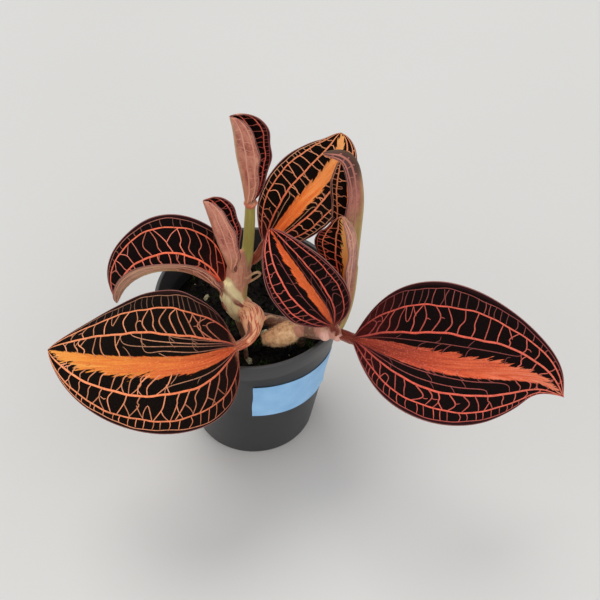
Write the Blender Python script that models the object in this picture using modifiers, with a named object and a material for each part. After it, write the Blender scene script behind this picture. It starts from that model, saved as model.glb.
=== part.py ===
"""A jewel orchid in a small nursery pot: velvety pointed leaves on a creeping stem.

The origin is the middle of the pot's base, on the surface that it stands on.  +Z is up and the
plant's best side faces -Y.  Lengths are written in millimetres and scaled by MM.
"""

from math import cos, exp, pi, radians, sin

import bmesh
import bpy
from mathutils import Vector

MM = 0.001
GAP = 0.3                       # left between pieces that touch

# Pot
POT_HEIGHT = 63.0
RIM_RADIUS = 33.0
BASE_RADIUS = 21.8
POT_WALL = 1.0
POT_FLOOR = 1.5
COLLAR_DEPTH = 8.0              # the slightly thicker band under the rim
COLLAR_STEP = 0.35
DRAIN_HOLES = 6
DRAIN_RADIUS = 2.5
DRAIN_CIRCLE = 14.5
POT_SIDES = 48

# Potting mix
MIX_LEVEL = 52.0
MIX_DOME = 1.0                  # how much higher its middle is than its edge

# Tape label: a strip on the pot's front right side, a little aslant
LABEL_TOP = 49.5
LABEL_WIDTH = 20.0
LABEL_FROM, LABEL_TO = 0.0, 72.0    # degrees round from -Y towards +X
LABEL_FALL = 5.5                # how far it drops along its length
LABEL_THICK = 0.6

# Leaves
LEAF_THICK = 0.75
RIB_THICK = 2.0                 # at the foot of the blade, over the midrib
ROWS, COLUMNS = 16, 8

SKIN = {
    "pot": ((0.045, 0.046, 0.049), 0.42),
    "potting_mix": ((0.008, 0.006, 0.004), 0.95),
    "label": ((0.26, 0.52, 0.83), 0.6),
    "stem": ((0.30, 0.15, 0.08), 0.6),
    "leaf": ((0.10, 0.03, 0.02), 0.5),
}


def smooth_line(points, steps=12):
    """A smooth line through the given points, as closely spaced points."""
    points = [Vector(p) for p in points]
    ends = [2 * points[0] - points[1], *points, 2 * points[-1] - points[-2]]
    line = []
    for a, b, c, d in zip(ends, ends[1:], ends[2:], ends[3:]):
        for i in range(steps):
            s = i / steps
            line.append(0.5 * (2 * b + (c - a) * s + (2 * a - 5 * b + 4 * c - d) * s ** 2
                               + (3 * b - a - 3 * c + d) * s ** 3))
    return line + [points[-1]]


def lengths(line):
    """Distance from the line's start to each of its points."""
    run = [0.0]
    for a, b in zip(line, line[1:]):
        run.append(run[-1] + (b - a).length)
    return run


def at_length(line, run, distance):
    """The point that lies the given distance along the line."""
    distance = min(max(distance, 0.0), run[-1])
    for i in range(1, len(run)):
        if distance <= run[i]:
            s = (distance - run[i - 1]) / (run[i] - run[i - 1])
            return line[i - 1].lerp(line[i], s)
    return line[-1]


def blend(a, b, s):
    return a + (b - a) * min(max(s, 0.0), 1.0)


def aim(turn, rise):
    """Unit vector: turn in degrees from -Y towards +X, rise above the horizon."""
    t, r = radians(turn), radians(rise)
    return Vector((sin(t) * cos(r), -cos(t) * cos(r), sin(r)))


def skin(name, kind):
    colour, roughness = SKIN[kind]
    material = bpy.data.materials.new(name)
    material.use_nodes = True
    shader = material.node_tree.nodes["Principled BSDF"]
    shader.inputs["Base Color"].default_value = (*colour, 1.0)
    shader.inputs["Roughness"].default_value = roughness
    return material


def add_object(name, data, collection, kind=None):
    item = bpy.data.objects.new(name, data)
    collection.objects.link(item)
    if kind:
        data.materials.append(skin(name, kind))
    return item


def add_turned(name, profile, collection, kind, sides=POT_SIDES):
    """A profile of (radius, height) points turned round the Z axis."""
    mesh = bpy.data.meshes.new(name)
    points = [(r * MM, 0.0, z * MM) for r, z in profile]
    mesh.from_pydata(points, [(i, i + 1) for i in range(len(points) - 1)], [])
    item = add_object(name, mesh, collection, kind)
    screw = item.modifiers.new("turn", "SCREW")
    screw.axis = "Z"
    screw.steps = screw.render_steps = sides
    screw.use_merge_vertices = True
    screw.merge_threshold = 0.00001
    return item


def hide_cutter(item):
    item.hide_render = True
    item.display_type = "WIRE"


def cut(item, cutter):
    hole = item.modifiers.new("cut", "BOOLEAN")
    hole.operation = "DIFFERENCE"
    hole.object = cutter


def add_rods(name, rods, collection, sides=16):
    """Upright cylinders as one object; each is (x, y, radius, bottom, top)."""
    bm = bmesh.new()
    for x, y, radius, bottom, top in rods:
        rod = bmesh.ops.create_cone(bm, cap_ends=True, segments=sides, radius1=radius * MM,
                                    radius2=radius * MM, depth=(top - bottom) * MM)
        bmesh.ops.translate(bm, verts=rod["verts"],
                            vec=Vector((x, y, (bottom + top) / 2)) * MM)
    mesh = bpy.data.meshes.new(name)
    bm.to_mesh(mesh)
    bm.free()
    return add_object(name, mesh, collection)


def wall_radius(z):
    """Outer radius of the pot's plain wall at a height."""
    return BASE_RADIUS + (RIM_RADIUS - COLLAR_STEP - BASE_RADIUS) * z / POT_HEIGHT


def add_pot(collection, cutters):
    collar = POT_HEIGHT - COLLAR_DEPTH
    profile = [
        (0.0, POT_FLOOR),
        (wall_radius(POT_FLOOR) - POT_WALL, POT_FLOOR),
        (wall_radius(collar) - POT_WALL, collar),
        (wall_radius(POT_HEIGHT) - POT_WALL, POT_HEIGHT - 0.3),
        (wall_radius(POT_HEIGHT) - POT_WALL + 0.3, POT_HEIGHT),
        (RIM_RADIUS - 0.3, POT_HEIGHT),
        (RIM_RADIUS, POT_HEIGHT - 0.4),
        (wall_radius(collar) + COLLAR_STEP, collar),
        (wall_radius(collar - 0.8), collar - 0.8),
        (wall_radius(1.2), 1.2),
        (BASE_RADIUS - 0.8, 0.0),
        (0.0, 0.0),
    ]
    pot = add_turned("pot", profile, collection, "pot")
    rods = []
    for i in range(DRAIN_HOLES):
        turn = 2 * pi * (i + 0.5) / DRAIN_HOLES
        rods.append((DRAIN_CIRCLE * cos(turn), DRAIN_CIRCLE * sin(turn), DRAIN_RADIUS, -3, 5))
    holes = add_rods("drain_holes", rods, cutters)
    hide_cutter(holes)
    cut(pot, holes)
    return pot


def add_mix(collection, cutters, stem_feet):
    """The mix fills the pot up to its level, with a plain hole for each foot of the stem."""
    inside = POT_WALL + GAP
    low = POT_FLOOR + GAP
    rim = MIX_LEVEL - MIX_DOME
    profile = [
        (0.0, MIX_LEVEL),
        (wall_radius(rim) * 0.45, MIX_LEVEL - 0.25 * MIX_DOME),
        (wall_radius(rim) * 0.8, MIX_LEVEL - 0.7 * MIX_DOME),
        (wall_radius(rim) - inside, rim),
        (wall_radius(low) - inside, low),
        (0.0, low),
    ]
    mix = add_turned("potting_mix", profile, collection, "potting_mix")
    rods = [(x, y, radius + 2 * GAP, bottom - GAP, MIX_LEVEL + 5)
            for x, y, radius, bottom in stem_feet]
    holes = add_rods("stem_holes", rods, cutters)
    hide_cutter(holes)
    cut(mix, holes)
    return mix


def add_label(collection):
    """A strip of tape bent round the wall: a grid laid on the cone, then thickened."""
    bm = bmesh.new()
    bmesh.ops.create_grid(bm, x_segments=14, y_segments=2, size=1.0)
    for vert in bm.verts:
        share = (vert.co.x + 1) / 2
        turn = radians(blend(LABEL_FROM - 2.0 * (1 - vert.co.y) / 2, LABEL_TO, share))
        z = LABEL_TOP - LABEL_FALL * share ** 1.3 - LABEL_WIDTH * (1 - vert.co.y) / 2
        radius = wall_radius(z) + GAP
        vert.co = Vector((radius * sin(turn), -radius * cos(turn), z)) * MM
    bmesh.ops.triangulate(bm, faces=bm.faces[:], quad_method="FIXED")
    mesh = bpy.data.meshes.new("label")
    bm.to_mesh(mesh)
    bm.free()
    label = add_object("label", mesh, collection, "label")
    thick = label.modifiers.new("thickness", "SOLIDIFY")
    thick.thickness = LABEL_THICK * MM
    thick.offset = 1.0
    return label


def add_tube(name, points, radii, collection, spacing=2.6):
    """A tapering round tube along a smooth line, as a closed mesh."""
    line = smooth_line(points)
    run = lengths(line)
    count = max(3, round(run[-1] / spacing))
    curve = bpy.data.curves.new(name, "CURVE")
    curve.dimensions = "3D"
    curve.bevel_depth = MM
    curve.bevel_resolution = 2
    curve.use_fill_caps = True
    spline = curve.splines.new("POLY")
    spline.points.add(count)
    for i, point in enumerate(spline.points):
        share = i / count
        point.co = (*(at_length(line, run, share * run[-1]) * MM), 1.0)
        k = share * (len(radii) - 1)
        low = min(int(k), len(radii) - 2)
        point.radius = blend(radii[low], radii[low + 1], k - low)
    guide = bpy.data.objects.new(name, curve)
    collection.objects.link(guide)
    evaluated = guide.evaluated_get(bpy.context.evaluated_depsgraph_get())
    mesh = bpy.data.meshes.new_from_object(evaluated)
    bm = bmesh.new()
    bm.from_mesh(mesh)
    bmesh.ops.remove_doubles(bm, verts=bm.verts[:], dist=0.00001)
    bm.to_mesh(mesh)
    bm.free()
    bpy.data.objects.remove(guide)
    return add_object(name, mesh, collection)


def add_ball(name, centre, radii, collection):
    bm = bmesh.new()
    bmesh.ops.create_uvsphere(bm, u_segments=10, v_segments=7, radius=1.0)
    for vert in bm.verts:
        vert.co = Vector([(c + r * v) * MM for c, r, v in zip(centre, radii, vert.co)])
    mesh = bpy.data.meshes.new(name)
    bm.to_mesh(mesh)
    bm.free()
    return add_object(name, mesh, collection)


# The stem's feet in the mix: x, y, radius and bottom of each upright end
SHOOT_FOOT = (-1.5, -8.5, 2.6, 40.0)
ROOT_FOOT = (17.0, -13.5, 1.6, 42.0)
THIN_ROOT_FOOT = (-2.0, -18.5, 0.8, 46.0)


def add_stem(collection):
    """Creeping stem, upright shoot, stubby aerial root and roots, joined into one body."""
    pieces = bpy.data.collections.new("stem_pieces")
    bpy.context.scene.collection.children.link(pieces)

    def foot(spec):
        return [(spec[0], spec[1], spec[3]), (spec[0], spec[1], MIX_LEVEL + 1)]

    shoot = [*foot(SHOOT_FOOT), (-3.2, -9.0, 64), (-3.6, -8.0, 72), (-2.6, -6.0, 79),
             (-0.8, -4.0, 84), (0.6, -0.5, 93), (1.3, 2.2, 102.2)]
    shoot = add_tube("shoot", shoot, [2.6, 2.6, 2.8, 2.6, 2.9, 2.3, 1.9, 1.8, 1.7], pieces)
    creeping = [(-2.0, -9.0, 60.5), (4.0, -10.5, 62), (10, -13, 62.5), (15, -16.5, 63.5),
                (20, -20, 66), (25.2, -22.2, 68), (28.2, -23.4, 68.8)]
    add_tube("creeping", creeping, [2.6, 2.3, 2.2, 2.4, 2.3, 2.6, 2.9, 2.4], pieces)
    stub = [(3.6, -19.8, 62.5), (8, -19.5, 62.8), (12.5, -18.5, 63.8), (16.5, -17.5, 65)]
    add_tube("stub_root", stub, [1.6, 3.0, 3.7, 3.8, 2.4], pieces, 2.0)
    root = [(20.5, -19.5, 66), (18, -15.5, 60), (17, -13.5, MIX_LEVEL + 1), (17, -13.5, 42)]
    add_tube("root", root, [2.0, 1.8, 1.6, 1.6], pieces)
    thin = [(-2.2, -9.5, 64), (-2.4, -15, 62), (-2, -18.5, MIX_LEVEL + 1.5), (-2, -18.5, 46)]
    add_tube("thin_root", thin, [1.1, 0.9, 0.8, 0.8], pieces)
    add_ball("lower_joint", (-2.9, -8.8, 67.4), (3.9, 3.9, 3.0), pieces)
    add_ball("upper_joint", (-2.3, -5.8, 79.5), (3.4, 3.4, 3.0), pieces)
    add_ball("collar", (1.2, 1.9, 101.6), (2.5, 2.5, 1.1), pieces)
    add_ball("end_joint", (23.4, -22.0, 68.6), (2.6, 2.8, 2.9), pieces)
    add_ball("end_bud", (27.4, -23.6, 69.2), (2.6, 2.6, 2.7), pieces)

    pieces.objects.unlink(shoot)
    bpy.context.scene.collection.objects.link(shoot)
    join = shoot.modifiers.new("join", "BOOLEAN")
    join.operation = "UNION"
    join.operand_type = "COLLECTION"
    join.collection = pieces
    evaluated = shoot.evaluated_get(bpy.context.evaluated_depsgraph_get())
    mesh = bpy.data.meshes.new_from_object(evaluated)
    mesh.materials.clear()
    for item in [shoot, *pieces.objects]:
        bpy.data.objects.remove(item)
    bpy.data.collections.remove(pieces)
    return add_object("stem", mesh, collection, "stem")


def leaf_sheet(stalk, rib, width, outline, faces, fold, curl, skew=0.0, wave=0.4,
               stalk_width=(1.4, 1.2)):
    """Returns place(share, across), which gives a point of the leaf and the half width there,
    and the share of the leaf's length that is stalk.

    stalk and rib are points along the stalk and along the blade's midrib.  The blade's half
    width follows share^a * (1 - share)^b with outline = (a, b).  faces are the directions that
    the upper side looks at the blade's foot and tip, fold the angles that each half rises by
    there, and curl how much further it has bent by its edge.
    """
    line = smooth_line([*stalk, *rib])
    run = lengths(line)
    total = run[-1]
    foot = lengths(smooth_line([*stalk, *rib[:2]]))[12 * len(stalk)] / total
    a, b = outline
    peak = (a / (a + b)) ** a * (b / (a + b)) ** b

    def place(share, across):
        t = max(0.0, (share - foot) / (1 - foot))
        middle = at_length(line, run, share * total)
        ahead = (at_length(line, run, share * total + 0.6)
                 - at_length(line, run, share * total - 0.6)).normalized()
        up = aim(*faces[0]).lerp(aim(*faces[1]), t)
        up = (up - up.dot(ahead) * ahead).normalized()
        side = ahead.cross(up)
        s = abs(across)
        lean = skew if across < 0 else -skew
        half = max(width * (1 + lean) * t ** a * (1 - t) ** b / peak, LEAF_THICK)
        if share < foot:
            half = blend(stalk_width[0], stalk_width[1], share / foot)
        else:
            half = max(half, stalk_width[1] * (1 - 3 * t))
        rise = radians(blend(fold[0], fold[1], t) if t > 0 else 40)
        bend = radians(curl) if abs(curl) > 0.1 else 0.002
        out = half * (sin(rise + bend * s) - sin(rise)) / bend
        lift = half * (cos(rise) - cos(rise + bend * s)) / bend
        lift += wave * s ** 3 * sin(2 * pi * (2.5 * t + 0.2 * across)) * min(1, 4 * t * (1 - t))
        return middle + side * (out if across > 0 else -out) + up * lift, half

    return place, foot


def add_leaf(name, collection, **form):
    """A leaf as one sheet on a grid, thick at the stalk and midrib and thin at the edge."""
    place, foot = leaf_sheet(**form)
    stalk_rows = 3 if foot > 0.02 else 0
    rows = ROWS + stalk_rows
    bm = bmesh.new()
    bmesh.ops.create_grid(bm, x_segments=rows, y_segments=COLUMNS, size=1.0)
    group = bm.verts.layers.deform.new()
    for vert in bm.verts:
        row = round((vert.co.x + 1) / 2 * rows)
        if row < stalk_rows:
            share, t = foot * row / stalk_rows, 0.0
        else:
            even = (row - stalk_rows) / ROWS
            t = 0.45 * even + 0.55 * (1 - cos(pi * even)) / 2
            share = foot + (1 - foot) * t
        across = vert.co.y
        point, half = place(share, across)
        vert[group][0] = exp(-(across * half / RIB_THICK) ** 2) * (1 - t) ** 1.4
        vert.co = point * MM
    bmesh.ops.triangulate(bm, faces=bm.faces[:], quad_method="FIXED")
    mesh = bpy.data.meshes.new(name)
    bm.to_mesh(mesh)
    bm.free()
    leaf = add_object(name, mesh, collection, "leaf")
    leaf.vertex_groups.new(name="thick")
    thick = leaf.modifiers.new("thickness", "SOLIDIFY")
    thick.thickness = RIB_THICK * MM
    thick.offset = 1.0              # the sheet's normals look down, so it thickens below
    thick.vertex_group = "thick"
    thick.thickness_vertex_group = LEAF_THICK / RIB_THICK
    return leaf


def add_leaves(collection):
    add_leaf("leaf_left", collection,
             stalk=[(-0.7, -12.8, 67.8), (1.2, -19.3, 69.2), (0.5, -25.8, 70)],
             rib=[(-4.5, -30, 71), (-18, -37, 73.5), (-35.5, -37, 74), (-50.5, -33, 72),
                  (-66.5, -25.5, 68)],
             width=23.2, outline=(0.43, 0.77), faces=((18, 40), (5, 66)), fold=(10, 3), curl=-22,
             stalk_width=(3.6, 1.4))
    add_leaf("leaf_right", collection,
             stalk=[(30.4, -24.6, 69.2)],
             rib=[(33, -26.8, 69.5), (43.5, -33.5, 71.5), (54, -39.7, 73), (68, -44.7, 73.5),
                  (82.5, -47, 71.5), (92.5, -47.5, 68), (100, -49, 62)],
             width=23.4, outline=(0.84, 1.14), faces=((-7, 58), (-42, 25)), fold=(30, -3), curl=0,
             skew=0.16)
    add_leaf("leaf_arched", collection,
             stalk=[(-7.5, -12.0, 70.0), (-7.7, -11.0, 74.5)],
             rib=[(-8.3, -9.8, 78), (-12, -10, 82), (-18.5, -9, 86), (-27, -8.5, 87),
                  (-35.5, -7.5, 83), (-41.5, -6.5, 76), (-45, -6, 68)],
             width=15, outline=(0.55, 0.92), faces=((115, 56), (-60, 72)), fold=(49, 47), curl=3,
             stalk_width=(1.6, 2.2))
    add_leaf("leaf_upright", collection,
             stalk=[],
             rib=[(1.4, 2.6, 103.2), (0, 4.5, 113), (-1.5, 3.5, 123), (-2.5, 1.5, 135),
                  (-3.5, 0.5, 142)],
             width=9.3, outline=(0.58, 0.3), faces=((75, 10), (73, 19)), fold=(57, 61), curl=31)
    add_leaf("leaf_small", collection,
             stalk=[(-4.1, -6.9, 83.2)],
             rib=[(-5.0, -8.2, 86.5), (-6.3, -8.5, 91), (-8.5, -8.5, 98), (-10.5, -7.5, 105),
                  (-13, -6, 114)],
             width=8.3, outline=(0.65, 0.34), faces=((87, 29), (84, 46)), fold=(50, 55), curl=21,
             stalk_width=(1.6, 1.6))
    add_leaf("leaf_back", collection,
             stalk=[(3.3, -2.8, 84.6)],
             rib=[(5.7, -0.2, 88.4), (9, 3, 90.5), (17, 7, 100), (26, 12, 108.5),
                  (30.5, 15.5, 115), (31.5, 18, 119)],
             width=12.9, outline=(0.62, 0.65), faces=((-11, 45), (-12, 40)), fold=(8, 10), curl=2)
    add_leaf("leaf_back_right", collection,
             stalk=[(29.7, -20.7, 70.7), (32.6, -14.9, 75.5)],
             rib=[(34.3, -7.5, 82.5), (35.6, -4.5, 94.5), (36.7, -2.3, 107), (36.0, -1.2, 117),
                  (34.4, 0.8, 123.5), (30.3, 1.8, 126), (24.7, 2.7, 124)],
             width=8.3, outline=(0.55, 0.6), faces=((-85, 0), (-71, -55)), fold=(60, 42), curl=14)
    add_leaf("leaf_inner", collection,
             stalk=[(25.4, -19.6, 72.3), (27.8, -20.2, 75)],
             rib=[(30.8, -19.8, 79.5), (33.1, -17, 88), (34.2, -14.3, 96.5), (33.7, -11.8, 104),
                  (30.2, -10.8, 109.5)],
             width=10.8, outline=(0.85, 0.6), faces=((-75, 14), (-75, 0)), fold=(46, 36), curl=5,
             skew=0.33)
    add_leaf("leaf_front", collection,
             stalk=[(27.6, -26.2, 72.0)],
             rib=[(26.6, -26.4, 75.4), (23, -24.6, 82), (19, -21.8, 87), (11.8, -15.5, 97),
                  (7.4, -8.5, 103)],
             width=12.3, outline=(0.56, 0.76), faces=((-20, 38), (-30, 30)), fold=(6, 20), curl=0,
             skew=-0.08)


def build():
    for item in list(bpy.data.objects):
        bpy.data.objects.remove(item)
    orchid = bpy.data.collections.new("jewel_orchid")
    cutters = bpy.data.collections.new("cutters")
    bpy.context.scene.collection.children.link(orchid)
    bpy.context.scene.collection.children.link(cutters)
    add_pot(orchid, cutters)
    add_mix(orchid, cutters, [SHOOT_FOOT, ROOT_FOOT, THIN_ROOT_FOOT])
    add_label(orchid)
    add_stem(orchid)
    add_leaves(orchid)
    for item in orchid.objects:
        item.data.shade_smooth()
        item.data.set_sharp_from_angle(angle=radians(40))


build()
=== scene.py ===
"""The looks of a potted jewel orchid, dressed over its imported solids.

Lengths are written in millimetres and scaled by MM.  The origin is the middle of the pot's base,
+Z is up, and the side that the camera sees faces -Y.
"""

from functools import partial
from math import cos, pi, radians, sin

import bmesh
import bpy
import numpy as np
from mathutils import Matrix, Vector, noise


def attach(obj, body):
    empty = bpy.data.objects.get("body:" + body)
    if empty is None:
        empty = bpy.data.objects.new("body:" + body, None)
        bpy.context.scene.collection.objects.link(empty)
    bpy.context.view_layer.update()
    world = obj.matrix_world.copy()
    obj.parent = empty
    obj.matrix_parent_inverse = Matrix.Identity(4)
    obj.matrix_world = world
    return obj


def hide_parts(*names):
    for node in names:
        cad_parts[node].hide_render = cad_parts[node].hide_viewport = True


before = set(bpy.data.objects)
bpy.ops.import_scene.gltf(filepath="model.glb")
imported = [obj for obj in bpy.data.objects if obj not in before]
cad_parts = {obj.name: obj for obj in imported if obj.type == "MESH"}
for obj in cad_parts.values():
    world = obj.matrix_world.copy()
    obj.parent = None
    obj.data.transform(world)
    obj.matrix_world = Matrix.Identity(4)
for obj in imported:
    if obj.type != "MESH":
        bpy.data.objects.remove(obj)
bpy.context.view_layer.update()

MM = 0.001
LINE_STEPS = 12                 # points that a smooth line gets for each one given

# Pot, as the solids have it
POT_HEIGHT = 63.0
RIM_RADIUS = 33.0
BASE_RADIUS = 21.8
POT_WALL = 1.0
POT_FLOOR = 1.5
COLLAR_DEPTH = 8.0
COLLAR_STEP = 0.35
DRAIN_HOLES = 6
DRAIN_RADIUS = 2.5
DRAIN_CIRCLE = 14.5
DRAIN_CUT = 8.0                 # length of the rods that cut the drain holes
POT_SIDES = 128
LIP_ROUND = 0.35                # roundings of the lip's inner and outer edge, and of the foot
BROW_ROUND = 0.4
FOOT_ROUND = 0.95

# Potting mix
MIX_LEVEL = 52.0
MIX_DOME = 1.0                  # how much higher the middle lies than the edge
MIX_RINGS, MIX_SPOKES = 90, 260
BARK_CHIPS = 900
PUMICE_CHIPS = 30
LUMP_ROUGHNESS = 0.28
LUMP_RAISED = 0.2               # how high a chip lies, as a share of half its thickness
MOSS_BLADES = 5200

# Tape label
LABEL_TOP = 49.5
LABEL_WIDTH = 20.0
LABEL_FROM, LABEL_TO = 0.0, 72.0    # degrees round the wall, from -Y towards +X
LABEL_FALL = 5.5                # how much lower the far end sits
LABEL_GAP = 0.08
LABEL_THICK = 0.16
LABEL_LIFT = 0.5                # how far its loose corner stands off

# Leaves
LEAF_THICK = 0.5
EDGE_THICK = 0.2
KEEL_THICK = 1.5                # extra thickness under the midrib, at the foot of the blade
TIP_HALF = 0.12                 # half width of the blade's last row
CELL = 0.62                     # spacing of the fine mesh
LOOK_ROUND = 0.6                # how far before and behind a point its direction is measured
EDGE_ROLL = 0.8                 # how far from the edge the blade grows thicker
KEEL_WIDE = 1.1                 # how far to each side the midrib's keel reaches
STALK_FADE = 0.08               # share of the blade over which the round stalk runs out
PILLOW = 0.2                    # how far the leaf swells between its main veins
PILLOW_LANE = 4.0               # the lane between two veins that swells in full
GROOVE_DEPTH, GROOVE_WIDE = 0.3, 0.7    # the hollow along the midrib
FLAME_LEAST = 0.25
FLAME_GROWS = 0.15              # share of the blade over which the band's edge begins to flare
SOFTENING = 100                 # passes that even out the bends of a midrib
STALK_ROW = 0.5                 # spacing of the rows along a stalk
MAIN_VEINS = ((0.86, 1.0), (0.6, 0.85), (0.32, None))   # widths and strengths, from the midrib
NET_VEINS = {
    "companion": (0.3, 0.3), "twig": (0.24, 0.15), "link": (0.26, 0.2), "full": (0.42, 0.6),
    "branch": (0.32, 0.5), "tail": (0.28, 0.5), "tine": (0.34, 0.55), "slanting": (0.4, 0.6),
    "loop": (0.36, 0.55), "rung": (0.3, None),
}
RIB_HEIGHT, NET_HEIGHT = 0.07, 0.05
RIB_SUNK, RIB_ROOT = 0.04, 0.13     # how far a rib's sides and its keel lie under the surface
RIB_STEP = 0.55

# Stem
TUBE_SIDES = 20
TUBE_STEP = 0.5
FUSE_CELL = 0.34                # cell of the remesh that fuses the stem's pieces
FUSE_SOFTENING = 4
STRIPE_STRETCH = 0.1            # how much finer the stripes are across than along
NEARNESS_FALL = 8.0             # how sharply one piece's colour gives way to the next
FUZZ_END = 16.5                 # the stubby root's felt stops here, along X
GREEN_LOW, GREEN_HIGH = 83.0, 103.6     # heights between which the shoot is leafy green
PALE_LOW, PALE_HIGH = 70.0, 78.0        # and fainter green
HAIRS = 3400
HAIR_WIDE = 0.035

# Floor
FLOOR_RADIUS = 5000.0
FLOOR_SIDES = 96

# Light: where each lamp stands, its spread in degrees, its strength and its colour
SKY, SKY_STRENGTH = (0.95, 0.955, 0.97, 1.0), 0.68
LAMPS = {
    "key": ((-180, 330, 760), 34, 1.05, (1.0, 0.99, 0.97)),
    "fill": ((380, -560, 520), 60, 0.75, (0.97, 0.98, 1.0)),
    "side": ((-620, -260, 420), 60, 0.35, (1.0, 1.0, 1.0)),
}

# Camera: where the photograph was taken from, closer in on this one plant
CAMERA_AT = (2.36, -293.4, 387.0)
CAMERA_TARGET = (16.5, -16.0, 77.0)
CAMERA_LENS = 76.0


def smooth_line(points, steps=LINE_STEPS):
    """A smooth line through the given points, as closely spaced points."""
    p = np.array(points, float)
    p = np.vstack([2 * p[0] - p[1], p, 2 * p[-1] - p[-2]])
    s = np.arange(steps)[:, None] / steps
    spans = [0.5 * (2 * b + (c - a) * s + (2 * a - 5 * b + 4 * c - d) * s ** 2
                    + (3 * b - a - 3 * c + d) * s ** 3)
             for a, b, c, d in zip(p, p[1:], p[2:], p[3:])]
    return np.vstack([*spans, p[-2]])


def lengths(line):
    """Distance from the line's start to each of its points."""
    return np.concatenate([[0.0], np.cumsum(np.linalg.norm(np.diff(line, axis=0), axis=1))])


def at_length(line, run, distance):
    """The points that lie the given distances along the line."""
    return np.stack([np.interp(distance, run, line[:, k]) for k in range(3)], -1)


def blend(a, b, s):
    """From a to b as s goes from 0 to 1."""
    return a + (b - a) * np.clip(s, 0.0, 1.0)


def fade(value, start, span):
    """0 up to start, then a straight rise to 1 over the span, which may be negative."""
    return np.clip((value - start) / span, 0, 1)


def unit(v):
    """Vectors made 1 long."""
    return v / np.maximum(np.linalg.norm(v, axis=-1, keepdims=True), 1e-9)


def aim(turn, rise):
    """Unit vector: turn in degrees from -Y towards +X, rise above the horizon."""
    t, r = radians(turn), radians(rise)
    return np.array([sin(t) * cos(r), -cos(t) * cos(r), sin(r)])


def wall_radius(z):
    """Outer radius of the pot's plain wall at a height."""
    return BASE_RADIUS + (RIM_RADIUS - COLLAR_STEP - BASE_RADIUS) * z / POT_HEIGHT


def grid_faces(rows, columns, start=0, closed=False):
    """Quads of a grid of rows by columns of points, whose last column may meet its first."""
    r, c = np.meshgrid(np.arange(rows - 1), np.arange(columns - (not closed)), indexing="ij")
    after = (c + 1) % columns
    quads = [r * columns + c, r * columns + after, (r + 1) * columns + after,
             (r + 1) * columns + c]
    return start + np.stack(quads, -1).reshape(-1, 4)


def shell_faces(rows, columns):
    """Faces of a closed sheet: the top, the underside (its points follow the top's), the edge."""
    size = rows * columns
    top = grid_faces(rows, columns)
    order = np.arange(size).reshape(rows, columns)
    loop = [*order[0, :-1], *order[:-1, -1], *order[-1, :0:-1], *order[:0:-1, 0]]
    edge = [[int(i) for i in (a, size + a, size + b, b)]
            for a, b in zip(loop, loop[1:] + loop[:1])]
    return top.tolist(), (size + top[:, ::-1]).tolist(), edge


def ball(subdivisions):
    """Points and triangles of a round ball of radius 1."""
    bm = bmesh.new()
    bmesh.ops.create_icosphere(bm, subdivisions=subdivisions, radius=1.0)
    points = np.array([v.co for v in bm.verts])
    triangles = np.array([[v.index for v in f.verts] for f in bm.faces])
    bm.free()
    return points, triangles


def add_object(name, data):
    """A new object in the scene."""
    item = bpy.data.objects.new(name, data)
    bpy.context.scene.collection.objects.link(item)
    return item


def add_mesh(name, points, faces, materials=(), kinds=None, smooth=True):
    """A new object from points in millimetres; kinds are the faces' material numbers."""
    mesh = bpy.data.meshes.new(name)
    mesh.from_pydata((np.asarray(points, float) * MM).tolist(), [], faces)
    for material in materials:
        mesh.materials.append(material)
    if kinds is not None:
        mesh.polygons.foreach_set("material_index", np.asarray(kinds, np.int32))
    if smooth:
        mesh.shade_smooth()
    return add_object(name, mesh)


def add_spikes(name, points, material):
    """Slim closed spikes, each with three points round its foot and then its tip."""
    faces = []
    for k in range(0, len(points), 4):
        faces += [(k, k + 1, k + 3), (k + 1, k + 2, k + 3), (k + 2, k, k + 3), (k + 2, k + 1, k)]
    return add_mesh(name, points, faces, [material], smooth=False)


def set_attribute(item, name, values):
    """Stores a vector for each point of the mesh, for the materials to read."""
    attribute = item.data.attributes.new(name, "FLOAT_VECTOR", "POINT")
    attribute.data.foreach_set("vector", np.asarray(values, np.float32).ravel())


def read_points(mesh, key):
    """A vector of each point of the mesh, such as co or normal."""
    values = np.empty(len(mesh.vertices) * 3, np.float32)
    mesh.vertices.foreach_get(key, values)
    return values.reshape(-1, 3).astype(float)


def dress(item, slot, *nodes):
    """Hangs a piece on the root body and hides the solids it stands for; the slot is not used."""
    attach(item, "root")
    if nodes:
        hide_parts(*nodes)


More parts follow.
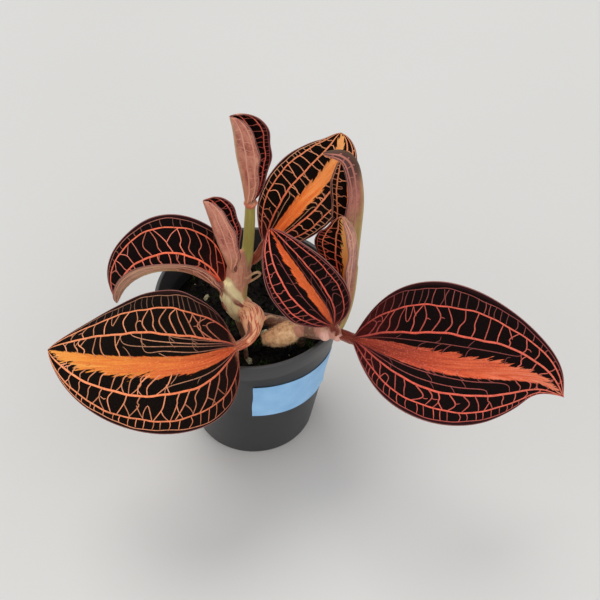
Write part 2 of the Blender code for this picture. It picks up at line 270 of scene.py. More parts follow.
class Paint:
    """A material whose nodes are added by short calls; any input may be a number or a socket."""

    def __init__(self, name, roughness=0.5, specular=0.5, sheen=None, subsurface=None):
        self.material = bpy.data.materials.new(name)
        self.material.use_nodes = True
        self.tree = self.material.node_tree
        self.shader = self.tree.nodes["Principled BSDF"]
        values = {"Roughness": roughness, "Specular IOR Level": specular}
        if sheen:
            values.update(zip(("Sheen Weight", "Sheen Roughness", "Sheen Tint"), sheen))
        if subsurface:
            values.update(zip(("Subsurface Weight", "Subsurface Radius"), subsurface))
            values["Subsurface Scale"] = MM
        for key, value in values.items():
            self.set(self.shader, key, value)

    def set(self, node, key, value):
        """Links a socket to a node's input, or sets the input to a number, vector or colour."""
        socket = node.inputs[key]
        if isinstance(value, bpy.types.NodeSocket):
            self.tree.links.new(value, socket)
        elif hasattr(value, "__len__") and len(value) == 3 and socket.type == "RGBA":
            socket.default_value = (*value, 1.0)
        else:
            socket.default_value = value

    def node(self, kind, inputs=None, **settings):
        made = self.tree.nodes.new("ShaderNode" + kind)
        for key, value in settings.items():
            setattr(made, key, value)
        for key, value in (inputs or {}).items():
            self.set(made, key, value)
        return made

    def attribute(self, name):
        """The three parts of a stored vector."""
        read = self.node("Attribute", attribute_name=name)
        parts = self.node("SeparateXYZ", {0: read.outputs["Vector"]})
        return parts.outputs[0], parts.outputs[1], parts.outputs[2]

    def place(self, scale=1.0):
        """The point itself, in millimetres."""
        point = self.node("TexCoord").outputs["Object"]
        return self.node("VectorMath", {0: point, "Scale": scale / MM}, operation="SCALE").outputs[0]

    def math(self, operation, a, b=0.0, c=0.0):
        return self.node("Math", {0: a, 1: b, 2: c}, operation=operation).outputs[0]

    def times(self, a, b):
        return self.math("MULTIPLY", a, b)

    def line(self, a, rate, start):
        """a times rate, plus start."""
        return self.math("MULTIPLY_ADD", a, rate, start)

    def vector(self, x, y, z=0.0):
        return self.node("CombineXYZ", {0: x, 1: y, 2: z}).outputs[0]

    def noise(self, vector, scale=1.0, detail=2.0, roughness=0.5, warp=0.0):
        return self.node("TexNoise", {"Vector": vector, "Scale": scale, "Detail": detail,
                                      "Roughness": roughness, "Distortion": warp}).outputs["Fac"]

    def cells(self, vector, scale=1.0, feature="F1", output="Distance"):
        made = self.node("TexVoronoi", {"Vector": vector, "Scale": scale}, feature=feature)
        return made.outputs[output]

    def step(self, value, low, high, smooth=True):
        """0 below low and 1 above high; low may be the larger."""
        kind = "SMOOTHSTEP" if smooth else "LINEAR"
        return self.node("MapRange", {0: value, 1: low, 2: high},
                         interpolation_type=kind).outputs[0]

    def mix(self, factor, a, b, kind="MIX"):
        """From colour a to colour b as the factor goes from 0 to 1."""
        made = self.node("Mix", data_type="RGBA", blend_type=kind)
        for socket, value in zip((made.inputs[0], made.inputs[6], made.inputs[7]),
                                 (factor, a, b)):
            if isinstance(value, bpy.types.NodeSocket):
                self.tree.links.new(value, socket)
            else:
                socket.default_value = value if isinstance(value, float) else (*value, 1.0)
        return made.outputs[2]

    def cover(self, under, over, mask, share=None):
        """Lays one colour over another where the mask is 1, by no more than the share."""
        factor = mask if share is None else self.times(mask, share)
        return self.mix(factor, under, over)

    def ramp(self, value, *stops):
        """Colours at places from 0 to 1."""
        made = self.node("ValToRGB", {0: value})
        steps = made.color_ramp.elements
        while len(steps) < len(stops):
            steps.new(0.5)
        for element, (place, colour) in zip(steps, stops):
            element.position = place
            element.color = (*colour, 1.0)
        return made.outputs[0]

    def colour(self, value):
        self.set(self.shader, "Base Color", value)

    def rough(self, value):
        self.set(self.shader, "Roughness", value)

    def bump(self, height, depth, strength=1.0):
        """Height from 0 to 1 stands for a depth in millimetres."""
        made = self.node("Bump", {"Height": height, "Distance": depth * MM,
                                  "Strength": strength})
        self.set(self.shader, "Normal", made.outputs[0])


def rgb(red, green, blue):
    """A colour as seen on a screen, 0 to 255, made linear."""
    return tuple(((c / 255 + 0.055) / 1.055) ** 2.4 if c > 10 else c / 3294 for c in
                 (red, green, blue))


# The leaves' materials

def leaf_top(name, look):
    """Near-black velvet with an orange band along the midrib and a thin pale rim, partly the leaf's
    pale margin and partly a painted highlight along its edge.
    """
    paint = Paint(name, 0.6, 0.05, sheen=(0.02, 0.5, rgb(190, 110, 100)))
    t, depth, edge = paint.attribute("leaf_at")
    along, off, band = paint.attribute("leaf_mm")
    away = paint.math("ABSOLUTE", off)
    point = paint.vector(along, off)

    def slanting(rate, across, down):
        """Noise drawn out along lines that leave the midrib towards the tip."""
        q = paint.line(along, -rate, away)
        spot = paint.vector(paint.times(q, across), paint.times(along, down), look["seed"])
        return paint.noise(spot, 1.0, 3.0, 0.6)

    flame = paint.math("SUBTRACT", slanting(0.42, 0.85, 0.10), 0.5)
    reach = paint.line(flame, paint.times(depth, 4.0), band)
    barb = paint.math("SUBTRACT", slanting(0.3, 2.6, 0.25), 0.5)
    inside = paint.step(paint.line(barb, paint.times(depth, 1.6), reach), -0.15, 0.25)

    streak = slanting(0.10, 1.9, 0.07)
    warmth = paint.line(paint.math("SUBTRACT", streak, 0.5), 1.3, t)
    orange = paint.ramp(warmth, *look["band"])
    thread = paint.step(slanting(0.14, 3.4, 0.05), 0.60, 0.70)
    orange = paint.cover(orange, look["thread"], thread, paint.step(t, 0.5, 0.05))
    glint = paint.step(paint.cells(point, 2.6, output="Color"), 0.62, 0.95)
    orange = paint.cover(orange, look["glint"], glint, 0.3)
    dip = paint.step(paint.noise(point, 2.4, 2.0, 0.6), 0.42, 0.25)
    orange = paint.cover(orange, look["thread"], dip, 0.45)

    mottle = paint.noise(point, 1.6, 4.0, 0.65)
    dark = paint.ramp(mottle, (0.3, rgb(6, 2, 2)), *look["cells"])
    red = paint.times(paint.step(t, 0.25, 0.0), look["red_foot"])
    dark = paint.cover(dark, rgb(96, 28, 26), red, streak)
    skin = paint.cover(dark, orange, inside)
    skin = paint.cover(skin, look["rim"], paint.step(edge, 1.6, 0.6), 0.75)
    # The outermost pale line is partly the leaf's own pale margin and partly a painted rim
    # highlight.
    skin = paint.cover(skin, rgb(150, 102, 94), paint.step(edge, 0.3, 0.16))
    grain = paint.noise(paint.vector(paint.times(along, 0.15), off), 1.6, 3.0, 0.6)
    stalk = paint.ramp(grain, (0.35, look["stalk_skin"]), (0.65, look["stalk_pale"]))
    paint.colour(paint.cover(skin, stalk, paint.step(along, 2.0, -1.5)))
    nap = paint.noise(point, 9.0, 3.0, 0.7)
    paint.rough(paint.line(nap, 0.25, 0.5))
    paint.bump(nap, 0.05, 0.7)
    return paint.material


def leaf_vein(name, look):
    """Veins, brighter where they are stronger and redder towards the leaf's foot."""
    paint = Paint(name, 0.5, 0.25, sheen=(0.05, 0.4, rgb(240, 180, 150)))
    t, tone, chance = paint.attribute("vein")
    strong = paint.ramp(t, (0.0, look["vein_foot"]), (0.3, look["vein"]), (1.0, look["vein_tip"]))
    weak = paint.ramp(t, (0.0, look["net_foot"]), (0.35, look["net"]), (1.0, look["net"]))
    shade = paint.cover(weak, strong, paint.step(tone, 0.3, 0.9, smooth=False))
    fleck = paint.noise(paint.place(), 1.0, 3.0, 0.6)
    dim = paint.line(chance, -0.5, 1.15)
    dim = paint.times(dim, paint.step(tone, -0.4, 0.55, smooth=False))
    level = paint.times(dim, paint.line(fleck, 1.3, 0.4))
    grey = paint.node("CombineColor", {0: level, 1: level, 2: level}).outputs[0]
    paint.colour(paint.mix(1.0, shade, grey, "MULTIPLY"))
    return paint.material


def leaf_under(name, look):
    """The dusty pink underside, paler near the midrib and finely netted."""
    paint = Paint(name, 0.5, 0.3, sheen=(0.06, 0.4, rgb(240, 190, 170)),
                  subsurface=(0.1, (1.0, 0.4, 0.3)))
    t, _, edge = paint.attribute("leaf_at")
    along, off, _ = paint.attribute("leaf_mm")
    cloud = paint.noise(paint.vector(paint.times(along, 0.4), off, look["seed"]), 0.42, 4.0, 0.6)
    skin = paint.ramp(cloud, (0.3, look["under_dark"]), (0.48, look["under"]),
                      (0.74, look["under_pale"]))
    net = paint.cells(paint.vector(paint.times(along, 0.7), off), 0.6, "DISTANCE_TO_EDGE")
    skin = paint.cover(skin, look["under_pale"], paint.step(net, 0.07, 0.02), 0.35)
    grain = paint.noise(paint.vector(along, off, look["seed"]), 4.0, 3.0, 0.7)
    skin = paint.cover(skin, look["under_dark"], paint.step(grain, 0.52, 0.75), 0.35)
    keel = paint.step(paint.math("ABSOLUTE", off), 1.6, 0.2)
    skin = paint.cover(skin, look["keel"], keel, 0.55)
    foot_colour, reach = look["foot"]
    skin = paint.cover(skin, foot_colour, paint.step(t, reach, reach * 0.4), 0.8)
    skin = paint.cover(skin, rgb(112, 66, 60), paint.step(edge, 0.9, 0.3))
    skin = paint.cover(skin, rgb(44, 17, 19), paint.step(t, 0.58, 0.76), look["dusk"])
    paint.colour(skin)
    paint.bump(grain, 0.05, 0.6)
    return paint.material


def leaf_under_vein(name, look):
    """The underside's veins, paler where they are stronger."""
    paint = Paint(name, 0.5, 0.35, sheen=(0.1, 0.4, rgb(240, 200, 190)))
    _, tone, chance = paint.attribute("vein")
    clear = paint.step(tone, 0.0, 0.7, smooth=False)
    shade = paint.cover(look["under"], look["under_vein"], clear)
    fleck = paint.noise(paint.place(), 1.1, 3.0, 0.6)
    paint.colour(paint.cover(shade, look["under_dark"], fleck, chance))
    return paint.material


def both(value):
    """The same for a leaf's two halves, which are called 1 and -1."""
    return {1: value, -1: value}


# The leaves' looks.  band_from and band_to give the orange band's middle and half width, as shares
# of the leaf's half width at its foot and its tip; flame is how far the band's edge flares, and
# from where.  companions are fine veins beside the midrib: how far across, and how far they run.
# chevrons, forks, rungs and open say how common the kinds of cross veins are, gaps and slant how
# far apart and how steep, drift how near the midrib the main veins start, net_light how bright.
PLAIN = dict(
    skew=0.0, wave=0.4, stalk_width=(1.4, 1.2), shoulder=(0.0, 0.0, 0.14), dusk=0.0,
    rungs=both(0.25), open=both(1.0), net_light=both(1.0), drift=both((0.45, 0.16)),
    slant=both((1.0, 1.0)))
COPPER = dict(
    PLAIN, band=[(0.0, rgb(184, 76, 46)), (0.3, rgb(214, 102, 54)), (0.6, rgb(222, 124, 56)),
                 (0.85, rgb(232, 144, 60)), (1.0, rgb(238, 164, 90))],
    thread=rgb(120, 44, 24), glint=rgb(250, 170, 96), red_foot=0.5,
    cells=((0.6, rgb(19, 11, 6)), (0.8, rgb(48, 34, 18))),
    rim=rgb(44, 20, 20), stalk_skin=rgb(132, 62, 48), stalk_pale=rgb(190, 118, 88),
    vein_foot=rgb(160, 64, 48), vein=rgb(226, 122, 76), vein_tip=rgb(234, 146, 98),
    net_foot=rgb(104, 44, 40), net=rgb(212, 146, 110),
    under=rgb(188, 112, 92), under_dark=rgb(134, 70, 60), under_pale=rgb(220, 158, 130),
    under_vein=rgb(224, 160, 130), keel=rgb(178, 132, 92), foot=(rgb(176, 120, 86), 0.2),
    flame=both((1.0, 0.2)), companions={1: ((0.5, 0.45),), -1: ((0.5, 0.4),)}, forks=both(0.4),
    gaps=both((0.95, 0.95)), chevrons=both(0.35))
CORAL = dict(
    PLAIN, band=[(0.0, rgb(120, 48, 38)), (0.2, rgb(164, 66, 50)), (0.42, rgb(198, 82, 54)),
                 (0.7, rgb(226, 104, 66)), (1.0, rgb(240, 140, 110))],
    thread=rgb(84, 26, 22), glint=rgb(250, 146, 118), red_foot=0.9,
    cells=((0.6, rgb(20, 8, 7)), (0.8, rgb(44, 20, 15))),
    rim=rgb(50, 20, 24), stalk_skin=rgb(116, 54, 44), stalk_pale=rgb(158, 88, 66),
    vein_foot=rgb(130, 46, 42), vein=rgb(212, 86, 66), vein_tip=rgb(226, 108, 86),
    net_foot=rgb(90, 32, 34), net=rgb(166, 78, 72),
    under=rgb(190, 112, 94), under_dark=rgb(134, 68, 58), under_pale=rgb(222, 158, 132),
    under_vein=rgb(226, 160, 132), keel=rgb(186, 124, 96), foot=(rgb(182, 120, 90), 0.25),
    flame=both((0.9, 0.3)), companions=both(((0.35, 0.5), (0.68, 0.4))), forks=both(0.3),
    gaps=both((1.0, 0.95)), chevrons=both(0.45))


# The leaves: the points of a stalk and a midrib, the directions that the upper face looks in at
# the foot and the tip, and the angles that the halves rise by and curl through.  sides give the
# main veins of each half as shares of the half width.
LEAVES = {
    "leaf_left": dict(
        COPPER, seed=3.0,
        stalk=[(-2.2, -9.8, 67.2), (-0.7, -12.8, 67.8), (1.2, -19.3, 69.2), (0.5, -25.8, 70)],
        rib=[(-4.5, -30, 71), (-18, -37, 73.5), (-35.5, -37, 74), (-50.5, -33, 72),
             (-66.5, -25.5, 68)], width=23.2, outline=(0.43, 0.77), faces=((18, 40), (5, 66)),
        fold=(10, 3), curl=-22, wave=0.15, stalk_width=(2.4, 1.4), band_from=(-0.01, 0.1),
        band_to=(-0.15, 0.2), flame={1: (0.15, 0.5), -1: (2.2, 0.2)}, rungs={1: -0.3, -1: 0.55},
        red_foot=0.15, forks={1: 0.3, -1: 0.6}, gaps={1: (0.9, 0.9), -1: (0.66, 0.9)},
        chevrons={1: 0.45, -1: 0.15}, drift={1: (0.6, 0.25), -1: (0.75, 0.22)},
        companions={1: ((0.22, 0.48), (0.46, 0.6), (0.7, 0.54), (0.88, 0.4)), -1: ((0.5, 0.36),)},
        stalk_skin=rgb(168, 84, 60), stalk_pale=rgb(226, 156, 116),
        sides={1: (0.45, 0.78, 0.93), -1: (0.53, 0.855, 0.95)}),
    "leaf_right": dict(
        CORAL, seed=11.0, stalk=[(27.4, -23.5, 68.8), (30.4, -24.6, 69.2)],
        rib=[(33, -27.2, 69.5), (43.5, -35.2, 71.5), (54, -41.8, 73), (68, -46.4, 73.5),
             (82.5, -47.2, 71.5), (92.5, -47.3, 68), (100, -49, 62)], width=23,
        outline=(0.84, 1.14), faces=((-7, 58), (-42, 25)), fold=(30, -3), curl=0, skew=0.22,
        wave=0.3, shoulder=(-0.3, 0.4, 0.14), stalk_width=(1.6, 1.7), band_from=(-0.04, 0.13),
        band_to=(-0.07, 0.17), flame={1: (0.1, 0.2), -1: (1.5, 0.3)}, forks={1: 0.25, -1: 0.25},
        companions={1: ((0.25, 0.72), (0.6, 0.62)), -1: ((0.5, 0.74),)}, rungs={1: 0.5, -1: 0.12},
        drift={1: (0.6, 0.18), -1: (0.6, 0.35)},
        sides={1: (0.45, 0.76, 0.93), -1: (0.5, 0.78, 0.92)}),
    "leaf_arched": dict(
        CORAL, seed=5.0, stalk=[(-5.0, -10.4, 67.8), (-7.5, -12.0, 70.0), (-7.7, -11.0, 74.5)],
        rib=[(-8.3, -9.8, 78), (-12, -10, 82), (-18.5, -9, 86), (-27, -8.5, 87), (-35.5, -7.5, 83),
             (-41.5, -6.5, 76), (-45, -6, 68)], width=15, outline=(0.55, 0.92),
        faces=((115, 56), (-60, 72)), fold=(49, 47), curl=3, skew=-0.14, shoulder=(0.0, -0.9, 0.35),
        stalk_width=(0.9, 1.1), band_from=(0.0, 0.22), band_to=(0.0, -0.28),
        band=[(0.0, rgb(206, 78, 54)), (0.3, rgb(236, 106, 72)), (1.0, rgb(230, 140, 90))],
        sides={1: (0.28, 0.78, 0.92), -1: (0.43, 0.84, 0.955)}, companions=both(()),
        gaps={1: (0.8, 0.85), -1: (1, 1)}, slant={1: (0.4, 1.3), -1: (1.0, 1.0)},
        chevrons={1: 0.1, -1: 0.3}, forks={1: 0.35, -1: 0.3}, rungs={1: -0.2, -1: 0},
        vein_foot=rgb(214, 92, 62), vein=rgb(238, 112, 74), net=rgb(216, 132, 112),
        keel=rgb(190, 166, 112), foot=(rgb(132, 62, 50), 0.5), under=rgb(184, 132, 98),
        under_dark=rgb(136, 84, 64), under_pale=rgb(210, 172, 126)),
    "leaf_upright": dict(
        CORAL, seed=7.0, stalk=[],
        rib=[(1.4, 2.4, 104.4), (0, 4.3, 113), (-1.5, 3.5, 123), (-2.5, 1.5, 135),
             (-3.5, 0.5, 142)], width=9.3, outline=(0.58, 0.3), faces=((75, 10), (73, 19)),
        fold=(57, 61), curl=31, skew=-0.16, band_from=(0.0, 0.16), band_to=(0.0, 0.2),
        sides=both((0.43, 0.8, 0.94)), keel=rgb(188, 152, 108)),
    "leaf_small": dict(
        CORAL, seed=13.0, stalk=[(-3.0, -6.2, 80.8), (-4.1, -6.9, 83.2)],
        rib=[(-5.0, -8.2, 86.5), (-6.3, -8.5, 91), (-8.5, -8.5, 98), (-10.5, -7.5, 105),
             (-13, -6, 114)], width=8.3, outline=(0.65, 0.34), faces=((87, 29), (84, 46)),
        fold=(50, 55), curl=21, stalk_width=(1.6, 1.6), band_from=(0.0, 0.16), band_to=(0.0, 0.2),
        sides=both((0.43, 0.8, 0.94))),
    "leaf_back": dict(
        COPPER, seed=17.0, stalk=[(0.2, -3.9, 83.4), (3.3, -2.8, 84.6)],
        rib=[(5.7, -0.2, 88.4), (9, 3, 90.5), (17, 7, 100), (26, 12, 108.5), (30.5, 15.5, 115),
             (31.5, 18, 119)], width=12.9, outline=(0.62, 0.65), faces=((-11, 45), (-12, 40)),
        fold=(8, 10), curl=2, band_from=(0.1, 0.18), band_to=(0.12, 0.2),
        band=[(0.0, rgb(226, 92, 48)), (0.45, rgb(246, 128, 56)), (1.0, rgb(250, 178, 108))],
        vein=rgb(222, 108, 68), net=rgb(226, 164, 122), flame=both((0.5, 0.3)), chevrons=both(0.2),
        slant=both((0.7, 0.7)), sides={1: (0.5, 0.8, 0.94), -1: (0.38, 0.8, 0.93)}),
    "leaf_back_right": dict(
        COPPER, seed=19.0, stalk=[(28.2, -22.6, 69.8), (29.7, -20.7, 70.7), (32.6, -14.9, 75.5)],
        rib=[(34.3, -7.5, 82.5), (35.6, -4.5, 94.5), (36.7, -2.3, 107), (36.0, -1.2, 117),
             (34.4, 0.8, 123.5), (30.3, 1.8, 126), (24.7, 2.7, 124)], width=8.3,
        outline=(0.55, 0.6), faces=((-85, 0), (-71, -55)), fold=(60, 42), curl=14, skew=0.25,
        band_from=(0.0, 0.2), band_to=(0.0, 0.3), sides=both((0.45, 0.8, 0.94)),
        under=rgb(166, 98, 84), under_dark=rgb(118, 62, 56), under_pale=rgb(190, 124, 104),
        under_vein=rgb(178, 110, 94), keel=rgb(176, 148, 84), foot=(rgb(168, 150, 84), 0.55),
        dusk=0.85),
    "leaf_inner": dict(
        COPPER, seed=23.0, stalk=[(24.2, -20.8, 70.4), (25.4, -19.6, 72.3), (27.8, -20.2, 75)],
        rib=[(30.8, -19.8, 79.5), (33.1, -17, 88), (34.2, -14.3, 96.5), (33.7, -11.8, 104),
             (30.2, -10.8, 109.5)], width=10.8, outline=(0.85, 0.6), faces=((-75, 14), (-75, 0)),
        fold=(46, 36), curl=5, skew=0.33, band_from=(0.1, 0.36), band_to=(0.12, 0.5),
        band=[(0.0, rgb(220, 120, 60)), (0.4, rgb(246, 172, 92)), (1.0, rgb(250, 190, 112))],
        net=rgb(186, 74, 58), vein=rgb(204, 86, 60), sides=both((0.5, 0.8, 0.94)),
        under=rgb(150, 100, 92)),
    "leaf_front": dict(
        CORAL, seed=29.0, stalk=[(27.5, -24.6, 70.2), (27.6, -26.2, 72.0)],
        rib=[(26.6, -26.4, 75.4), (23, -24.6, 82), (19, -21.8, 87), (11.8, -15.5, 97),
             (7.4, -8.5, 103)], width=12.3, outline=(0.56, 0.76), faces=((-20, 38), (-30, 30)),
        fold=(6, 20), curl=0, skew=-0.08, band_from=(0.05, 0.12), band_to=(0.04, 0.16),
        red_foot=0.4,
        band=[(0.0, rgb(176, 74, 46)), (0.3, rgb(214, 98, 52)), (0.7, rgb(230, 106, 50)),
              (1.0, rgb(216, 86, 50))], flame={1: (0.1, 0.3), -1: (0.7, 0.3)},
        open={1: 0.1, -1: 0.0}, net_light={1: 0.05, -1: 0.8}, chevrons={1: 0.2, -1: 0.1},
        companions={1: ((0.25, 0.85), (0.7, 0.7)), -1: ((0.4, 0.8),)},
        sides={1: (0.45, 0.8, 0.94), -1: (0.5, 0.8, 0.93)}),
}


class Sheet:
    """A leaf's upper surface: place(share, across) as in the solids, on a fine grid."""

    def __init__(self, look):
        self.look = look
        rough = smooth_line([*look["stalk"], *look["rib"]])
        run = lengths(rough)
        self.line = at_length(rough, run, np.linspace(0, run[-1], 200))
        for _ in range(SOFTENING):
            self.line[1:-1] = (self.line[:-2] + 2 * self.line[1:-1] + self.line[2:]) / 4
        self.run = lengths(self.line)
        self.length = self.run[-1]
        to_blade = lengths(smooth_line([*look["stalk"], *look["rib"][:2]]))
        self.foot = to_blade[LINE_STEPS * len(look["stalk"])] / self.length
        self.blade = self.length * (1 - self.foot)

    def place(self, share, across):
        """Points of the sheet, and the half width there."""
        look, foot = self.look, self.foot
        a, b = look["outline"]
        t = np.clip((share - foot) / (1 - foot), 0, 1)
        distance = share * self.length
        middle = at_length(self.line, self.run, distance)
        ahead = unit(at_length(self.line, self.run, distance + LOOK_ROUND)
                     - at_length(self.line, self.run, distance - LOOK_ROUND))
        first, last = aim(*look["faces"][0]), aim(*look["faces"][1])
        up = first + (last - first) * t[..., None]
        up = unit(up - np.sum(up * ahead, -1, keepdims=True) * ahead)
        side = np.cross(ahead, up)
        s = np.abs(across)
        right, left, reach = look["shoulder"]
        near_foot = np.exp(-t / reach)
        lean = np.where(across < 0, look["skew"] + left * near_foot,
                        right * near_foot - look["skew"])
        peak = (a / (a + b)) ** a * (b / (a + b)) ** b
        half = np.maximum(look["width"] * (1 + lean) * t ** a * (1 - t) ** b / peak, TIP_HALF)
        stalk_start, stalk_end = look["stalk_width"]
        half = np.where(share < foot, blend(stalk_start, stalk_end, share / max(foot, 1e-6)),
                        np.maximum(half, stalk_end * (1 - 3 * t)))
        rise = np.radians(np.where(t > 0, blend(*look["fold"], t), 40.0))
        bend = radians(look["curl"]) if abs(look["curl"]) > 0.1 else 0.002
        out = half * (np.sin(rise + bend * s) - np.sin(rise)) / bend
        lift = half * (np.cos(rise) - np.cos(rise + bend * s)) / bend
        ripple = np.sin(2 * pi * (2.5 * t + 0.2 * across)) * np.minimum(1, 4 * t * (1 - t))
        lift = lift + look["wave"] * s ** 3 * ripple
        out = np.where(across > 0, out, -out)
        return middle + side * out[..., None] + up * lift[..., None], half


def vein_line(look, side, k, t):
    """A main vein's share of the half width: the inner ones leave the foot near the midrib."""
    pull, reach = look["drift"][side]
    pull = (pull, 0.35 * pull, 0.0)[k]
    return look["sides"][side][k] * (1 - pull * np.exp(-np.maximum(t, 0) / reach))


def band_edge(look, side, t):
    """Share of the half width at which the orange band ends on one side."""
    middle = blend(look["band_from"][0], look["band_to"][0], t)
    half = blend(look["band_from"][1], look["band_to"][1], t)
    return side * middle + half


def relief(look, t, across, half):
    """How far the upper surface swells between the main veins, and sinks at the midrib."""
    lift = np.zeros_like(across)
    ends = fade(t, 0, 0.1) * fade(t, 1, -0.1)
    for side in (1, -1):
        s = across * side
        lines = [np.zeros_like(t), *(vein_line(look, side, k, t) for k in range(3)),
                 np.ones_like(t)]
        for low, high in zip(lines, lines[1:]):
            share = (s - low) / (high - low)
            room = np.clip((high - low) * half / PILLOW_LANE, 0, 1)
            hump = np.sin(pi * np.clip(share, 0, 1)) ** 0.8 * PILLOW * room
            lift += np.where((share > 0) & (share < 1), hump, 0)
    groove = GROOVE_DEPTH * np.exp(-(across * half / GROOVE_WIDE) ** 2)
    return lift * ends - groove * np.clip(1 - t, 0, 1) ** 0.5


class LeafMesh:
    """The fine leaf: a closed sheet, and slender ribs along its veins on both faces."""

    def __init__(self, look):
        self.sheet, self.look = Sheet(look), look
        sheet = self.sheet
        rows = max(24, round(sheet.blade / CELL))
        self.columns = 2 * max(12, round(look["width"] / CELL))
        even = np.arange(rows + 1) / rows
        t = 0.55 * even + 0.45 * (1 - np.cos(pi * even)) / 2
        self.share = sheet.foot + (1 - sheet.foot) * t
        if sheet.foot > 0.01:
            stalk_rows = max(8, round(sheet.foot * sheet.length / STALK_ROW))
            stalk_shares = sheet.foot * np.arange(stalk_rows) / stalk_rows
            self.share = np.concatenate([stalk_shares, self.share])
        across = np.linspace(-1, 1, self.columns + 1)
        share, self.across = np.meshgrid(self.share, across, indexing="ij")
        points, self.half = sheet.place(share, self.across)
        self.t = np.clip((share - sheet.foot) / (1 - sheet.foot), 0, 1)
        self.normal = unit(np.cross(np.gradient(points, axis=1), np.gradient(points, axis=0)))
        v = self.across * self.half
        edge = (1 - np.abs(self.across)) * self.half
        body = EDGE_THICK + (LEAF_THICK - EDGE_THICK) * (1 - np.exp(-edge / EDGE_ROLL))
        keel = KEEL_THICK * np.exp(-(v / KEEL_WIDE) ** 2) * np.clip(1 - self.t, 0, 1) ** 1.3
        round_stalk = np.sqrt(np.clip(self.half ** 2 - v ** 2, 0, None))
        keel = np.maximum(keel, round_stalk * np.clip(1 - self.t / STALK_FADE, 0, 1))
        self.top = points + self.normal * relief(look, self.t, self.across, self.half)[..., None]
        self.under = points - self.normal * (body + keel)[..., None]
        inside = [band_edge(look, side, self.t) - side * self.across for side in (1, -1)]
        flames = [depth * fade(self.t, start, FLAME_GROWS)
                  for depth, start in (look["flame"][side] for side in (1, -1))]
        flame = np.where(inside[0] < inside[1], *flames) + FLAME_LEAST
        self.at = np.stack([self.t, flame, edge], -1)
        self.mm = np.stack([(share - sheet.foot) * sheet.length, v,
                            np.minimum(*inside) * self.half], -1)
        self.points, self.faces, self.kinds, self.veins = [], [], [], []
        self.count = 0
        self.add_sheet()

    def add(self, points, faces, kind, vein=(0.0, 0.0, 0.0)):
        """Keeps a piece of the mesh, with what the vein materials read at its points."""
        points = np.asarray(points).reshape(-1, 3)
        self.points.append(points)
        self.faces += [[self.count + i for i in face] for face in faces]
        self.kinds += [kind] * len(faces)
        self.veins.append(np.broadcast_to(vein, points.shape))
        self.count += len(points)

    def add_sheet(self):
        """The blade and stalk: upper face and edge of one kind, underside of the other."""
        top, under, edge = shell_faces(*self.across.shape)
        self.add([self.top, self.under], top, 0)
        self.faces += under + edge
        self.kinds += [1] * len(under) + [0] * len(edge)

    def surface(self, share, across, upper):
        """Points and outward directions on a face of the sheet."""
        r = np.clip(np.interp(share, self.share, np.arange(len(self.share))), 0,
                    len(self.share) - 1.001)
        c = np.clip((across + 1) / 2 * self.columns, 0, self.columns - 0.001)
        i, j = r.astype(int), c.astype(int)
        p, q = (r - i)[:, None], (c - j)[:, None]

        def read(grid):
            return ((1 - p) * ((1 - q) * grid[i, j] + q * grid[i, j + 1])
                    + p * ((1 - q) * grid[i + 1, j] + q * grid[i + 1, j + 1]))

        if upper:
            return read(self.top), unit(read(self.normal))
        return read(self.under), -unit(read(self.normal))

    def add_rib(self, t, across, width, tone, chance, upper=True, raised=RIB_HEIGHT):
        """A slender closed ridge along a vein, sunk a little into the sheet."""
        foot = self.sheet.foot

        def trace():
            share = np.where(t >= 0, foot + (1 - foot) * t, foot * (1 + t))
            return self.surface(share, across, upper)

        points, out = trace()
        run = lengths(points)
        count = max(4, int(run[-1] / RIB_STEP) + 1)
        if count != len(t):
            even = np.linspace(0, run[-1], count)
            t, across, width = (np.interp(even, run, x) for x in (t, across, width))
            points, out = trace()
        right = np.cross(unit(np.gradient(points, axis=0)), out)
        w = width[:, None]
        high = np.minimum(raised, width * 0.2)[:, None]
        section = ((-0.5, -RIB_SUNK), (-0.27, high), (0.27, high), (0.5, -RIB_SUNK), (0, -RIB_ROOT))
        ring = np.stack([points + right * w * x + out * y for x, y in section], 1)
        sides = len(section)
        faces = grid_faces(count, sides, closed=True).tolist()
        faces += [list(range(sides))[::-1], [sides * (count - 1) + k for k in range(sides)]]
        vein = np.stack([np.repeat(np.clip(t, 0, 1), sides), np.full(sides * count, tone),
                         np.full(sides * count, chance)], -1)
        self.add(ring, faces, 2 if upper else 3, vein)

    def build(self, name, materials):
        """The object, with the places and distances that the materials read."""
        item = add_mesh(name, np.concatenate(self.points), self.faces, materials, self.kinds)
        spare = np.zeros((self.count - 2 * self.across.size, 3))
        for key, values in (("leaf_at", self.at), ("leaf_mm", self.mm)):
            face = values.reshape(-1, 3)
            set_attribute(item, key, np.concatenate([face, face, spare]))
        set_attribute(item, "vein", np.concatenate(self.veins))
        return item


def taper(t, width, foot=0.35, tip=0.12):
    """A vein's width: a little finer at the foot, and fine at the tip."""
    thin = np.clip((1 - t) / tip, 0.12, 1) ** 0.6
    return width * np.minimum(1, foot + np.maximum(t, 0) / 0.1) * thin


def add_veins(leaf, random):
    """Main veins from foot to tip, and the net between them.

    Where the tables above give no strength, it comes from the look's rungs.
    """
    look, sheet = leaf.look, leaf.sheet
    size = min(1.0, sheet.blade / 60) ** 0.5        # small leaves have a finer net
    start = -0.9 if sheet.foot > 0.02 else 0.0
    t = np.concatenate([np.linspace(start, 0, 8)[:-1], np.linspace(0, 0.996, 90)])
    for upper in (True, False):
        for side in (1, -1):
            for k, (width, tone) in enumerate(MAIN_VEINS):
                if tone is None:
                    tone = 0.2 + 0.5 * look["rungs"][side]
                wobble = 0.01 * np.sin(t * 23 + 3 * k + look["seed"]) + 0.004 * np.sin(t * 61 + k)
                across = side * (vein_line(look, side, k, t) + wobble * np.clip(8 * t, 0, 1))
                leaf.add_rib(t, across, taper(t, width * size), tone, random.random() * 0.3, upper)
    for side in (1, -1):
        net = Net(leaf, side, size, random)
        net.add_companions()
        net.add_inner_lane()
        net.add_middle_lane()
        net.add_rungs()


